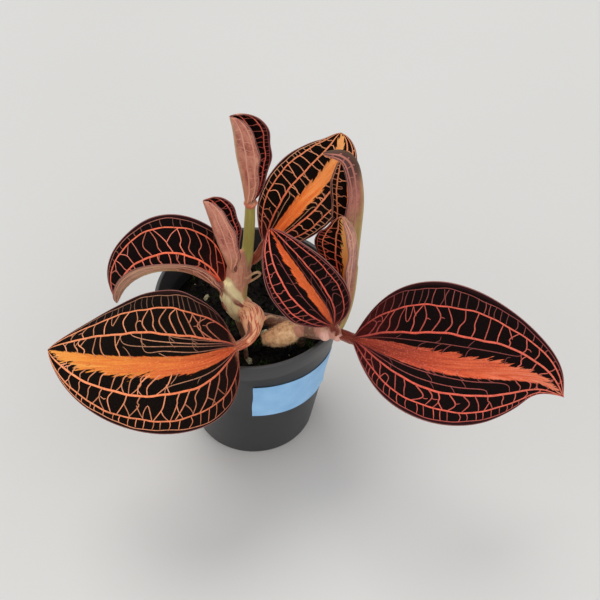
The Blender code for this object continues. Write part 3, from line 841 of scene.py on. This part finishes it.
class Net:
    """Cross veins of one half of a leaf, lane by lane outwards from the orange band."""

    def __init__(self, leaf, side, size, random):
        look = leaf.look
        self.leaf, self.look, self.side, self.size, self.random = leaf, look, side, size, random
        self.length = leaf.sheet.blade
        self.lines = [self.band, *(partial(vein_line, look, side, k) for k in range(3))]
        low, middle, _ = look["sides"][side]
        inner_slant, middle_slant = look["slant"][side]
        self.inner_room = inner_slant * look["width"] * (low - band_edge(look, side, 0.5)) / 7
        self.middle_room = middle_slant * look["width"] * (middle - low) / 7

    def band(self, t):
        """The orange band's edge, kept between the midrib and the inner vein."""
        return np.clip(band_edge(self.look, self.side, t) - 0.03, 0.02, self.lines[1](t) - 0.06)

    def draw(self, lane, start, s, shift, kind, tone=None):
        """One vein in a lane: s is its way across, shift how far along the leaf."""
        random, size = self.random, self.size
        near, far = self.lines[lane:lane + 2]
        width, usual = NET_VEINS[kind]
        s, shift = np.array(s, float), np.array(shift, float)
        s[1:-1] += 0.035 * random.normal(size=len(s) - 2)
        shift[1:-1] += 0.3 * size * random.normal(size=len(s) - 2)
        tone = (usual if tone is None else tone) * self.look["net_light"][self.side]
        path = smooth_line(np.stack([s, shift, 0 * s], 1), 6)
        t = np.clip(start + path[:, 1] / self.length, 0.005, 0.985)
        across = self.side * (near(t) + (far(t) - near(t)) * np.clip(path[:, 0], 0, 1))
        swell = 1 + 0.25 * np.sin(np.linspace(0, pi, len(t)) + random.random())
        thin = np.clip((1 - t) / 0.1, 0.4, 1)
        chance = random.random()
        for upper in (True, False):
            if upper or tone > 0.3:
                self.leaf.add_rib(t, across, width * size * swell * thin, tone, chance, upper,
                                  NET_HEIGHT)

    def add_companions(self):
        """Long fine veins that run beside the midrib from the foot, then hook outwards."""
        for s, end in self.look["companions"][self.side]:
            span = end * self.length
            self.draw(0, 0.01, (s, s, s + 0.02, s + 0.1, 0.99),
                      (0, span * 0.4, span * 0.75, span * 0.95, span), "companion")
            t = 0.2
            while t < end - 0.12:
                other = min(s + 0.3 + 0.1 * self.random.random(), 1)
                self.draw(0, t, (s, (s + other) / 2, other), (0, 1.4, 1.9), "twig")
                t += (0.1 + 0.14 * self.random.random()) * 60 / self.length * self.size

    def add_inner_lane(self):
        """Forked and single veins from the band to the inner vein, or to a companion."""
        look, side, random = self.look, self.side, self.random
        t = 0.10
        while t < 0.93:
            slant = self.inner_room * (2.0 + 8.0 * max(0, 0.6 - t)) * (0.6 + 0.8 * random.random())
            reach = min([s for s, end in look["companions"][side]
                         if t + slant / self.length < end], default=1.0)
            bow = 0.35 + 0.3 * random.random()
            if reach < 1:
                if t > 0.3 and random.random() < 0.5:
                    self.draw(0, t, (0.0, reach * 0.6, reach), (0, slant * 0.3, slant * 0.8),
                              "link")
            elif random.random() <= look["open"][side]:
                if random.random() < 0.45:
                    self.draw(0, t, (0, 0.25, 0.55, 1), (0, slant * 0.2, slant * bow, slant),
                              "full")
                    self.draw(0, t, (0.5, 0.75, 1),
                              (slant * bow * 0.9, slant * 0.3, slant * 0.1), "branch")
                else:
                    self.draw(0, t, (0, 0.2, 0.6, 1), (0, slant * bow, slant * 0.9, slant),
                              "full")
            t += (2.6 + 3.0 * random.random()) * self.size * look["gaps"][side][0] / self.length

    def add_middle_lane(self):
        """Chevrons that point to the tip, forks, slanting lines and loops that turn back."""
        look, side, random, room = self.look, self.side, self.random, self.middle_room
        chevrons, forks = look["chevrons"][side], look["forks"][side]
        t = 0.07
        while t < 0.95:
            lean = room * (0.6 + 3.2 * max(0, 0.75 - t)) * (0.7 + 0.6 * random.random())
            kind = random.random()
            bend = 0.4 + 0.25 * random.random()
            if kind < chevrons:
                self.draw(1, t, (0, bend, 1), (0, lean * 1.3, lean * 0.1), "full")
                if random.random() < 0.4:
                    point = 1.25 * lean
                    self.draw(1, t, (bend, bend + 0.03, bend - 0.02),
                              (point, point + 0.7 * room, point + 1.6 * room), "tail")
            elif kind < chevrons + forks:
                spread = room * (0.9 + 0.7 * random.random())
                self.draw(1, t, (0, bend * 0.6, bend, 1),
                          (0, lean * 0.4, lean * 0.6, lean + spread), "full")
                self.draw(1, t, (bend, (1 + bend) / 2, 1),
                          (lean * 0.6, lean * 0.4 - spread * 0.4, lean * 0.3 - spread), "tine")
            elif kind < 0.95:
                self.draw(1, t, (0, 0.3, 0.6, 1), (0, lean * 0.6, lean * 0.7, lean * 1.2),
                          "slanting")
            else:
                self.draw(1, t, (1, 0.62, 0.45, 0.6, 1),
                          np.array([0, 0.7, 1.4, 2.3, 2.6]) * room, "loop")
            step = 2.6 + 1.6 * t + 1.4 * random.random()
            t += step * self.size * look["gaps"][side][1] / self.length

    def add_rungs(self):
        """Short rungs from the middle vein to the outer one."""
        random = self.random
        t = 0.05
        while t < 0.95:
            lean = self.size * (0.9 - t) * (0.5 + random.random())
            tone = self.look["rungs"][self.side] + 0.25 * random.random()
            self.draw(2, t, (0, 0.5, 1), (0, lean * 0.6, lean), "rung", tone)
            t += (1.7 + 1.3 * random.random()) * self.size / self.length


def add_leaves():
    """Each leaf with its veins, its net and its four materials."""
    for number, (name, look) in enumerate(LEAVES.items()):
        leaf = LeafMesh(look)
        add_veins(leaf, np.random.default_rng(100 + number))
        materials = [leaf_top(name + "_top", look), leaf_under(name + "_under", look),
                     leaf_vein(name + "_vein", look), leaf_under_vein(name + "_under_vein", look)]
        dress(leaf.build(name + "_fine", materials), "leaf", name)


# The pot, its label and the mix

def pot_material():
    """Charcoal plastic, with the collar painted a little paler as light from above makes it, and
    dusty in places.
    """
    paint = Paint("pot_plastic", 0.42, 0.5)
    point = paint.place()
    cloud = paint.noise(point, 0.05, 4.0, 0.6)
    skin = paint.ramp(cloud, (0.3, rgb(27, 27, 29)), (0.7, rgb(37, 37, 39)))
    height = paint.node("SeparateXYZ", {0: point}).outputs[2]
    # Painted light: the band above the collar step is made paler, standing in for light falling on
    # it from above.
    collar = paint.step(height, POT_HEIGHT - COLLAR_DEPTH - 0.6, POT_HEIGHT - COLLAR_DEPTH + 0.4)
    skin = paint.cover(skin, rgb(68, 67, 67), collar, 0.5)
    dust = paint.step(paint.noise(point, 0.5, 6.0, 0.75), 0.60, 0.78)
    paint.colour(paint.cover(skin, rgb(122, 116, 108), dust, 0.22))
    paint.rough(paint.line(cloud, 0.16, 0.34))
    paint.bump(paint.noise(point, 3.5, 3.0, 0.6), 0.03, 0.5)
    return paint.material


def turned(name, profile, sides):
    """A profile of (radius, height) points turned round the Z axis."""
    mesh = bpy.data.meshes.new(name)
    mesh.from_pydata([(r * MM, 0, z * MM) for r, z in profile],
                     [(i, i + 1) for i in range(len(profile) - 1)], [])
    item = add_object(name, mesh)
    screw = item.modifiers.new("turn", "SCREW")
    screw.steps = screw.render_steps = sides
    screw.use_merge_vertices = True
    screw.merge_threshold = 0.00001
    return item


def drain_rods():
    """Rods that stand where the drain holes are cut."""
    bm = bmesh.new()
    for i in range(DRAIN_HOLES):
        turn = 2 * pi * (i + 0.5) / DRAIN_HOLES
        rod = bmesh.ops.create_cone(bm, cap_ends=True, segments=32, radius1=DRAIN_RADIUS * MM,
                                    radius2=DRAIN_RADIUS * MM, depth=DRAIN_CUT * MM)
        shift = Vector((DRAIN_CIRCLE * cos(turn), DRAIN_CIRCLE * sin(turn), 0.5)) * MM
        bmesh.ops.translate(bm, verts=rod["verts"], vec=shift)
    mesh = bpy.data.meshes.new("drain_rods")
    bm.to_mesh(mesh)
    bm.free()
    return add_object("drain_rods", mesh)


def apply_all(item):
    """Makes the object's mesh what its modifiers show, and drops them."""
    evaluated = item.evaluated_get(bpy.context.evaluated_depsgraph_get())
    mesh = bpy.data.meshes.new_from_object(evaluated)
    item.modifiers.clear()
    item.data = mesh


def add_pot():
    """The turned pot with its rounded lip and foot, its collar and its drain holes."""
    collar = POT_HEIGHT - COLLAR_DEPTH
    inner = wall_radius(POT_HEIGHT) - POT_WALL
    lip = [(inner + LIP_ROUND - LIP_ROUND * cos(a), POT_HEIGHT - LIP_ROUND + LIP_ROUND * sin(a))
           for a in np.linspace(0.1, pi / 2, 5)]
    brow = [(RIM_RADIUS - BROW_ROUND + BROW_ROUND * sin(a),
             POT_HEIGHT - BROW_ROUND + BROW_ROUND * cos(a))
            for a in np.linspace(0, pi / 2, 5)]
    foot = [(BASE_RADIUS - 0.8 + FOOT_ROUND * sin(a), FOOT_ROUND - FOOT_ROUND * cos(a))
            for a in np.linspace(pi / 2.3, 0, 6)]
    floor_edge = wall_radius(POT_FLOOR) - POT_WALL
    profile = [
        (0.0, POT_FLOOR), (floor_edge - 0.8, POT_FLOOR), (floor_edge, POT_FLOOR + 0.8),
        (wall_radius(collar) - POT_WALL, collar), *lip, *brow,
        (RIM_RADIUS - 0.12, POT_HEIGHT - 3.0), (wall_radius(collar) + COLLAR_STEP, collar + 0.2),
        (wall_radius(collar) + COLLAR_STEP * 0.7, collar - 0.25),
        (wall_radius(collar - 0.8), collar - 0.8), (wall_radius(30.0), 30.0), *foot, (0.0, 0.0),
    ]
    pot = turned("pot_fine", profile, POT_SIDES)
    rods = drain_rods()
    cut = pot.modifiers.new("cut", "BOOLEAN")
    cut.operation = "DIFFERENCE"
    cut.object = rods
    apply_all(pot)
    bpy.data.objects.remove(rods)
    pot.data.materials.clear()
    pot.data.materials.append(pot_material())
    pot.data.shade_smooth()
    pot.data.set_sharp_from_angle(angle=radians(32))
    dress(pot, "pot", "pot")


def label_material():
    """Light blue tape with a faint crepe."""
    paint = Paint("blue_tape", 0.6, 0.3)
    point = paint.place()
    crepe = paint.noise(paint.node("Mapping", {0: point, "Scale": (1.0, 1.0, 0.25)}).outputs[0],
                        3.2, 3.0, 0.6)
    cloud = paint.noise(point, 0.15, 3.0, 0.5)
    skin = paint.ramp(cloud, (0.3, rgb(142, 192, 236)), (0.7, rgb(158, 206, 246)))
    paint.colour(paint.cover(skin, rgb(118, 168, 216), paint.step(crepe, 0.55, 0.75), 0.25))
    paint.bump(crepe, 0.06, 0.8)
    return paint.material


def add_label():
    """A strip of tape bent round the wall; its free edges are a little uneven."""
    rows, columns = 31, 81
    up, along = np.meshgrid(np.linspace(-1, 1, rows), np.linspace(0, 1, columns), indexing="ij")
    turn = np.radians(blend(LABEL_FROM - (1 - up), LABEL_TO, along))
    ends = np.exp(-along / 0.02) - np.exp(-(1 - along) / 0.02)
    turn += ends * np.radians(0.22) * np.sin(5 * up)
    z = LABEL_TOP - LABEL_FALL * along ** 1.3 - LABEL_WIDTH * (1 - up) / 2
    lifted = LABEL_LIFT * fade(along, 0.93, 0.07) ** 2 * fade(up, -0.4, -0.6) ** 2
    lifted += 0.05 * np.sin(along * 17) * np.clip(np.abs(up) - 0.6, 0, 1)
    points = []
    for out in (LABEL_GAP + LABEL_THICK, LABEL_GAP):
        radius = wall_radius(z) + out + lifted
        points.append(np.stack([radius * np.sin(turn), -radius * np.cos(turn), z], -1))
    top, under, edge = shell_faces(rows, columns)
    label = add_mesh("label_fine", np.reshape(points, (-1, 3)), top + under + edge,
                     [label_material()])
    label.data.set_sharp_from_angle(angle=radians(50))
    dress(label, "label", "label")


def mix_material():
    """Nearly black, damp mix, greenish where moss has begun."""
    paint = Paint("damp_mix", 0.8, 0.06)
    point = paint.place()
    cloud = paint.noise(point, 0.4, 6.0, 0.7)
    skin = paint.ramp(cloud, (0.3, rgb(4, 3, 2)), (0.55, rgb(9, 7, 5)), (0.75, rgb(24, 18, 12)))
    moss = paint.step(paint.noise(point, 0.11, 3.0, 0.5), 0.56, 0.7)
    paint.colour(paint.cover(skin, rgb(44, 60, 22), moss, 0.5))
    paint.rough(paint.line(cloud, 0.6, 0.4))
    paint.bump(paint.noise(point, 2.2, 5.0, 0.7), 0.5, 0.8)
    return paint.material


def chip_material(name, dark, pale, roughness, specular):
    """A pitted chip of two shades."""
    paint = Paint(name, roughness, specular)
    pits = paint.noise(paint.place(), 1.6, 5.0, 0.7)
    paint.colour(paint.ramp(pits, (0.35, dark), (0.65, pale)))
    paint.bump(pits, 0.25, 0.8)
    return paint.material


def mix_height(x, y):
    """The mix's surface, rough with bark and crumbs."""
    r = (x * x + y * y) ** 0.5
    z = MIX_LEVEL - MIX_DOME * min(1.0, (r / 29) ** 2)
    z += 0.9 * noise.fractal(Vector((x * 0.16, y * 0.16, 3.0)), 1.0, 2.0, 4)
    z += 0.35 * noise.noise(Vector((x * 0.9, y * 0.9, 7.0)))
    return z


def spot_in_pot(reach, random):
    """A place picked evenly over the mix."""
    r, turn = reach * random.random() ** 0.5, random.random() * 2 * pi
    return r * cos(turn), r * sin(turn)


def add_mix(random):
    """A rough disc that fills the pot, with bark, pumice and moss lying in it."""
    low = POT_FLOOR + 0.3
    reach = wall_radius(MIX_LEVEL - 1) - POT_WALL - 0.05
    rings = reach * np.sqrt(np.linspace(0, 1, MIX_RINGS)[1:])
    turns = 2 * pi * np.arange(MIX_SPOKES) / MIX_SPOKES
    spots = [(0, 0), *((r * cos(turn), r * sin(turn)) for r in rings for turn in turns)]
    points = [(x, y, mix_height(x, y)) for x, y in spots]
    bottom = wall_radius(low) - POT_WALL - 0.3
    start = len(points)
    points += [(bottom * cos(turn), bottom * sin(turn), low) for turn in turns]
    points.append((0, 0, low))
    around = [(k, (k + 1) % MIX_SPOKES) for k in range(MIX_SPOKES)]
    faces = grid_faces(MIX_RINGS, MIX_SPOKES, 1, closed=True)[:, ::-1].tolist()
    faces += [[0, 1 + a, 1 + b] for a, b in around]
    faces += [[len(points) - 1, start + b, start + a] for a, b in around]
    dress(add_mesh("mix_fine", points, faces, [mix_material()]), "potting_mix", "potting_mix")

    bark = chip_material("bark_chips", rgb(5, 4, 3), rgb(23, 17, 12), 0.75, 0.12)
    pumice = chip_material("pumice_chips", rgb(96, 88, 60), rgb(206, 198, 162), 0.85, 0.35)
    add_lumps("bark", BARK_CHIPS, reach, (1.0, 4.6), 0.3, bark, random)
    add_lumps("pumice", PUMICE_CHIPS, reach, (0.9, 4.0), 0.7, pumice, random)
    add_moss(reach, random)


def add_lumps(name, count, reach, sizes, flat, material, random):
    """Lumps of uneven shape lying in the surface."""
    smallest, largest = sizes
    base, corners = ball(1)
    lumps, triangles = [], []
    for _ in range(count):
        x, y = spot_in_pot(reach - largest * 0.6, random)
        span = smallest + (largest - smallest) * random.random() ** 2
        half = span / 2 * np.array([1.0, 0.45 + 0.4 * random.random(), flat])
        dents = random.normal(size=(len(base), 1)).clip(-1.5, 1.5)
        lump = base * (1 + LUMP_ROUGHNESS * dents) * half
        spin, tip = random.random() * 2 * pi, 0.5 * random.normal()
        lump = lump @ np.array([[1, 0, 0], [0, cos(tip), -sin(tip)], [0, sin(tip), cos(tip)]])
        lump = lump @ np.array([[cos(spin), -sin(spin), 0], [sin(spin), cos(spin), 0], [0, 0, 1]])
        triangles.append(corners + len(base) * len(lumps))
        lumps.append(lump + (x, y, mix_height(x, y) + LUMP_RAISED * half[2]))
    item = add_mesh(name, np.concatenate(lumps), np.concatenate(triangles).tolist(),
                    [material], smooth=False)
    dress(item, "potting_mix")


def add_moss(reach, random):
    """Low green moss: short three-sided blades in patches."""
    spots, blades = [], []
    while len(spots) < MOSS_BLADES:
        x, y = spot_in_pot(reach - 1, random)
        if noise.noise(Vector((x * 0.13, y * 0.13, 21.0))) > 0.12 + 0.25 * random.random():
            spots.append((x, y, mix_height(x, y) - 0.1))
    for x, y, z in spots:
        tall, wide = 0.5 + 1.0 * random.random(), 0.12 + 0.1 * random.random()
        spin = random.random() * 2 * pi
        blades += [(x + wide * cos(spin + k * 2 * pi / 3), y + wide * sin(spin + k * 2 * pi / 3), z)
                   for k in range(3)]
        bend_x, bend_y = (0.6 * tall * random.normal() * 0.6 for _ in range(2))
        blades.append((x + bend_x, y + bend_y, z + tall))
    paint = Paint("moss", 0.6, 0.3)
    green = paint.noise(paint.place(), 0.8, 3.0, 0.6)
    paint.colour(paint.ramp(green, (0.3, rgb(26, 40, 12)), (0.6, rgb(72, 96, 34)),
                            (0.8, rgb(120, 138, 60))))
    dress(add_spikes("moss", blades, paint.material), "potting_mix")


# The stem: tubes round lines with the radii along them, and joints with their middles and radii,
# each with its colour

SHOOT = [(-1.5, -8.5, 44), (-1.5, -8.5, 53), (-3.2, -9.0, 64), (-3.6, -8.0, 72),
         (-2.6, -6.0, 79), (-0.8, -4.0, 84), (0.6, -0.5, 93), (1.5, 2.5, 105.0)]
CREEPING = [(-2.0, -9.0, 60.5), (4.0, -10.5, 62), (10, -13, 62.5), (15, -16.5, 63.5),
            (20, -20, 66), (25.2, -22.2, 68), (28.2, -23.4, 68.8)]
STUB = [(3.6, -19.8, 62.5), (8, -19.5, 62.8), (12.5, -18.5, 63.8), (16.5, -17.5, 65)]
ROOT = [(20.5, -19.5, 66), (18, -15.5, 60), (17, -13.5, 53), (17, -13.5, 45)]
THIN_ROOT = [(-2.2, -9.5, 64), (-2.4, -15, 62), (-2, -18.5, 53.5), (-2, -18.5, 47)]
SMALL_SHEATH = [(-2.7, -4.4, 89.5), (-3.6, -6.0, 85), (-4.3, -7.3, 79.5), (-4.6, -8.6, 74)]
ARCHED_SHEATH = [(-6.9, -9.6, 80), (-6.6, -9.9, 76.5), (-5.6, -10.2, 71), (-3.6, -10.4, 64)]
ARCHED_STALK = [(-9.6, -10.0, 80.4), (-7.4, -11.5, 77.6), (-4.7, -13.2, 74.4), (-2.2, -13.6, 72.0)]
LEFT_SHEATH = [(-2.2, -10.8, 68.6), (0.3, -13.8, 67.8), (0.6, -18.3, 67.2), (0.2, -23, 68.3),
               (-1.8, -27.5, 70)]
BRACT = [(-1.5, -7.0, 76.2), (-0.6, -7.6, 79.0), (1.0, -8.0, 81.6), (3.2, -8.2, 82.9),
         (3.7, -8.2, 81.5), (1.9, -8.0, 79.4), (-0.6, -7.6, 77.2)]
LOW_BRACT = [(2.6, -13.0, 64.5), (4.6, -15.0, 66.9), (6.4, -15.0, 68.4), (8.6, -15.0, 67.6)]
TUBES = {
    "shoot": (SHOOT, [2.6, 2.6, 2.8, 2.6, 2.9, 2.3, 1.9, 1.8, 1.7], rgb(172, 124, 92)),
    "creeping": (CREEPING, [2.6, 2.3, 2.2, 2.4, 2.3, 2.6, 2.9, 2.4], rgb(118, 80, 62)),
    "stub": (STUB, [1.6, 3.0, 3.7, 3.8, 2.4], rgb(196, 152, 108)),
    "root": (ROOT, [2.0, 1.8, 1.6, 1.6], rgb(92, 64, 46)),
    "thin_root": (THIN_ROOT, [1.1, 0.9, 0.8, 0.8], rgb(104, 74, 54)),
    "small_sheath": (SMALL_SHEATH, [1.4, 3.2, 3.5, 2.9], rgb(196, 136, 108)),
    "arched_sheath": (ARCHED_SHEATH, [1.8, 3.8, 3.7, 2.6], rgb(228, 212, 160)),
    "arched_stalk": (ARCHED_STALK, [1.1, 1.1, 0.9, 0.5], rgb(128, 58, 46)),
    "left_sheath": (LEFT_SHEATH, [3.0, 4.4, 3.0, 1.8, 1.4], rgb(244, 182, 138)),
    "bract": (BRACT, [0.7, 0.5, 0.45, 0.45], rgb(188, 150, 112)),
    "low_bract": (LOW_BRACT, [0.8, 0.6, 0.5, 0.4], rgb(196, 162, 122)),
}
JOINTS = {
    "lower_joint": ((-2.9, -8.8, 67.4), (3.9, 3.9, 3.0), rgb(222, 172, 128)),
    "upper_joint": ((-2.3, -5.8, 79.5), (3.4, 3.4, 3.0), rgb(178, 118, 92)),
    "collar": ((1.5, 2.4, 104.2), (2.3, 2.3, 1.2), rgb(208, 112, 84)),
    "end_joint": ((23.4, -22.0, 68.6), (2.6, 2.8, 2.9), rgb(196, 134, 114)),
    "end_bud": ((27.4, -23.6, 69.2), (2.6, 2.6, 2.7), rgb(190, 128, 110)),
    "stub_end": ((15.8, -19.8, 65.7), (2.4, 1.9, 2.5), rgb(186, 126, 100)),
    "front_knob": ((24.4, -24.3, 68.3), (2.0, 1.6, 2.3), rgb(228, 174, 158)),
    "end_knob": ((28.4, -25.0, 68.4), (1.7, 1.4, 2.1), rgb(226, 172, 156)),
}


def tube_points(line, radii):
    """Rings of points round a smooth line, its own points and radii, and a frame at each."""
    smooth = smooth_line(line)
    run = lengths(smooth)
    count = max(6, round(run[-1] / TUBE_STEP))
    middle = at_length(smooth, run, np.linspace(0, run[-1], count + 1))
    radius = np.interp(np.linspace(0, 1, count + 1), np.linspace(0, 1, len(radii)), radii)
    ahead = unit(np.gradient(middle, axis=0))
    turn = 2 * pi * np.arange(TUBE_SIDES)[:, None] / TUBE_SIDES
    side = np.cross(ahead[0], (0.3, 0.8, 0.5))
    rings, frames = [], []
    for k in range(count + 1):
        side = unit(side - np.dot(side, ahead[k]) * ahead[k])
        other = np.cross(ahead[k], side)
        rings.append(middle[k] + radius[k] * (np.cos(turn) * side + np.sin(turn) * other))
        frames.append((side, other, ahead[k]))
    return np.array(rings), middle, radius, np.array(frames)


def stem_material():
    """Fleshy skin: the piece's own colour, streaked lengthwise and flecked."""
    paint = Paint("stem_skin", 0.5, 0.4, sheen=(0.15, 0.4, rgb(250, 220, 200)),
                  subsurface=(0.15, (1.0, 0.4, 0.25)))
    colour = paint.node("Attribute", attribute_name="tint").outputs["Color"]
    grain = paint.node("Attribute", attribute_name="grain").outputs["Vector"]
    fuzz, green, striped = paint.attribute("zones")
    point = paint.place()
    streak = paint.noise(grain, 1.1, 4.0, 0.6)
    skin = paint.cover(colour, rgb(124, 70, 54), paint.step(streak, 0.48, 0.72), 0.45)
    stripe = paint.step(paint.noise(grain, 2.2, 2.0, 0.5), 0.50, 0.60)
    skin = paint.cover(skin, rgb(196, 88, 64), stripe, striped)
    pale = paint.step(paint.noise(point, 0.6, 4.0, 0.6), 0.5, 0.72)
    skin = paint.cover(skin, rgb(222, 190, 150), pale, 0.4)
    leafy = paint.mix(streak, rgb(134, 130, 46), rgb(182, 168, 94))
    skin = paint.cover(skin, leafy, green)
    felt = paint.noise(point, 1.5, 5.0, 0.75)
    patch = paint.math("ADD", paint.times(felt, 0.25),
                       paint.times(paint.noise(point, 0.3, 4.0, 0.6), 0.75))
    coat = paint.ramp(patch, (0.36, rgb(158, 106, 74)), (0.5, rgb(220, 172, 122)),
                      (0.62, rgb(240, 204, 158)))
    paint.colour(paint.cover(skin, coat, fuzz))
    paint.rough(paint.line(felt, 0.3, 0.42))
    rough = paint.math("ADD", paint.times(felt, paint.line(fuzz, 0.8, 0.2)),
                       paint.times(streak, 0.4))
    paint.bump(rough, 0.25, 0.8)
    return paint.material


def fused_stem():
    """All the tubes and joints fused by a fine remesh, and the lines that they follow."""
    points, faces, lines = [], [], []
    count = 0
    for line, radii, _ in TUBES.values():
        rings, middle, radius, frames = tube_points(line, radii)
        lines.append((middle, radius[:, None] * np.ones(3), frames))
        rows, sides = rings.shape[:2]
        points.append(rings.reshape(-1, 3))
        faces += grid_faces(rows, sides, count, closed=True)[:, ::-1].tolist()
        faces.append([count + k for k in range(sides)])
        faces.append([count + (rows - 1) * sides + k for k in range(sides - 1, -1, -1)])
        count += rows * sides
    sphere, corners = ball(3)
    for centre, radii, _ in JOINTS.values():
        lines.append((np.array([centre]), np.array([radii]), np.eye(3)[None]))
        points.append(sphere * radii + centre)
        faces += (corners + count).tolist()
        count += len(sphere)
    stem = add_mesh("stem_fine", np.concatenate(points), faces)
    fuse = stem.modifiers.new("fuse", "REMESH")
    fuse.mode = "VOXEL"
    fuse.voxel_size = FUSE_CELL * MM
    soften = stem.modifiers.new("soften", "SMOOTH")
    soften.iterations = FUSE_SOFTENING
    apply_all(stem)
    return stem, lines


def near_lines(place, lines):
    """How much each point belongs to each line, and where it lies on the nearest line's skin."""
    nearness, grain = [], []
    for number, (middle, radii, frames) in enumerate(lines):
        far = np.full(len(place), 1e9)
        closest = np.zeros(len(place), int)
        for k, (centre, r) in enumerate(zip(middle, radii)):
            d = np.linalg.norm((place - centre) / r, axis=1)
            closest = np.where(d < far, k, closest)
            far = np.minimum(far, d)
        nearness.append(np.exp(-NEARNESS_FALL * far ** 2))
        out = place - middle[closest]
        side, other, down = (np.sum(out * frames[closest, k], 1) for k in range(3))
        down = (down + lengths(middle)[closest]) * STRIPE_STRETCH + 10 * number
        to_skin = np.mean(radii) / np.maximum(np.hypot(side, other), 0.3)
        grain.append(np.stack([side * to_skin, other * to_skin, down], 1))
    nearness = np.array(nearness)
    grain = np.array(grain)[nearness.argmax(0), np.arange(len(place))]
    return nearness / nearness.sum(0), grain


def add_stem(random):
    """The fused stem with its colours, its zones of fuzz and green, and its small bumps."""
    stem, lines = fused_stem()
    mesh = stem.data
    place = read_points(mesh, "co") / MM
    normals = read_points(mesh, "normal")
    weight, grain = near_lines(place, lines)
    pieces = {**TUBES, **JOINTS}
    tint = weight.T @ np.array([colour for *_, colour in pieces.values()])
    share = dict(zip(pieces, weight))
    fuzz = np.clip(share["stub"] * 1.6 - 0.2, 0, 1)
    fuzz *= fade(place[:, 0], FUZZ_END, -2.0)
    striped = np.clip(share["left_sheath"] * 1.2, 0, 1) + 0.3 * share["small_sheath"]
    up = place[:, 2]
    green = fade(up, GREEN_LOW, 4) * fade(up, GREEN_HIGH, -0.8)
    faint = 0.55 * fade(up, PALE_LOW, 2) * fade(up, PALE_HIGH, -3)
    green = np.maximum(green, faint) * np.clip(share["shoot"] * 1.5, 0, 1)
    uneven, felted = (np.array([noise.noise(Vector(p) * scale) for p in place])
                      for scale in (0.5, 1.1))
    bumps = 0.10 * uneven + 0.3 * fuzz * felted
    moved = (place + normals * bumps[:, None]) * MM
    mesh.vertices.foreach_set("co", moved.astype(np.float32).ravel())
    colour = mesh.attributes.new("tint", "FLOAT_COLOR", "POINT")
    tint = np.column_stack([tint, np.ones(len(tint))])
    colour.data.foreach_set("color", tint.astype(np.float32).ravel())
    set_attribute(stem, "zones", np.stack([fuzz, green, striped], 1))
    set_attribute(stem, "grain", grain)
    mesh.materials.append(stem_material())
    mesh.shade_smooth()
    dress(stem, "stem", "stem")
    add_fuzz(place, normals, fuzz, random)


def add_fuzz(place, normals, fuzz, random):
    """Short root hairs on the stubby root, each a slim closed spike."""
    hairs = []
    for k in random.choice(np.flatnonzero(fuzz > 0.5), HAIRS):
        start = place[k] + 0.2 * random.normal(size=3) * 0.5 - normals[k] * 0.1
        way = unit(normals[k] + 0.55 * random.normal(size=3))
        side = unit(np.cross(way, (0.2, 0.5, 0.9)))
        other = np.cross(way, side)
        tall = 0.35 + 0.75 * random.random() ** 1.5
        hairs += [start + HAIR_WIDE * (cos(turn) * side + sin(turn) * other)
                  for turn in (0, 2 * pi / 3, 4 * pi / 3)]
        hairs.append(start + way * tall)
    paint = Paint("root_hair", 0.6, 0.3, sheen=(0.3, 0.4, rgb(255, 236, 210)))
    shade = paint.noise(paint.place(), 1.2, 2.0, 0.5)
    paint.colour(paint.ramp(shade, (0.35, rgb(176, 130, 92)), (0.65, rgb(234, 198, 156))))
    dress(add_spikes("root_hairs", hairs, paint.material), "stem")


# Stage, light and camera

def add_stage():
    """A round floor, so that its far edge is level from every side."""
    turns = 2 * pi * np.arange(FLOOR_SIDES) / FLOOR_SIDES
    rim = np.stack([np.cos(turns), np.sin(turns), 0 * turns], 1) * FLOOR_RADIUS
    paint = Paint("pale_floor", 0.55, 0.3)
    cloud = paint.noise(paint.place(), 0.004, 2.0, 0.5)
    paint.colour(paint.ramp(cloud, (0.3, rgb(204, 203, 200)), (0.7, rgb(209, 208, 205))))
    floor = add_mesh("floor", rim, [list(range(FLOOR_SIDES))], [paint.material])


def add_studio():
    """An even sky, and wide, far lamps that shine towards the pot."""
    world = bpy.data.worlds.new("studio")
    world.use_nodes = True
    sky = world.node_tree.nodes["Background"]
    sky.inputs["Color"].default_value = SKY
    sky.inputs["Strength"].default_value = SKY_STRENGTH
    bpy.context.scene.world = world
    for name, (at, spread, strength, colour) in LAMPS.items():
        lamp = bpy.data.lights.new(name, "SUN")
        lamp.angle = radians(spread)
        lamp.energy = strength
        lamp.color = colour
        item = add_object(name, lamp)
        item.location = Vector(at) * MM
        item.rotation_euler = (-Vector(at)).to_track_quat("-Z", "Y").to_euler()
    bpy.context.scene.view_settings.view_transform = "Standard"


def add_camera():
    """A long lens that looks down on the plant from the front."""
    camera = bpy.data.cameras.new("camera")
    camera.sensor_width = 36.0
    camera.lens = CAMERA_LENS
    camera.clip_start, camera.clip_end = 0.01, 20.0
    item = add_object("camera", camera)
    item.location = Vector(CAMERA_AT) * MM
    looking = Vector(CAMERA_TARGET) - Vector(CAMERA_AT)
    item.rotation_euler = looking.to_track_quat("-Z", "Y").to_euler()
    bpy.context.scene.camera = item


add_pot()
add_label()
add_mix(np.random.default_rng(4))
add_stem(np.random.default_rng(8))
add_leaves()
add_stage()
add_studio()
add_camera()
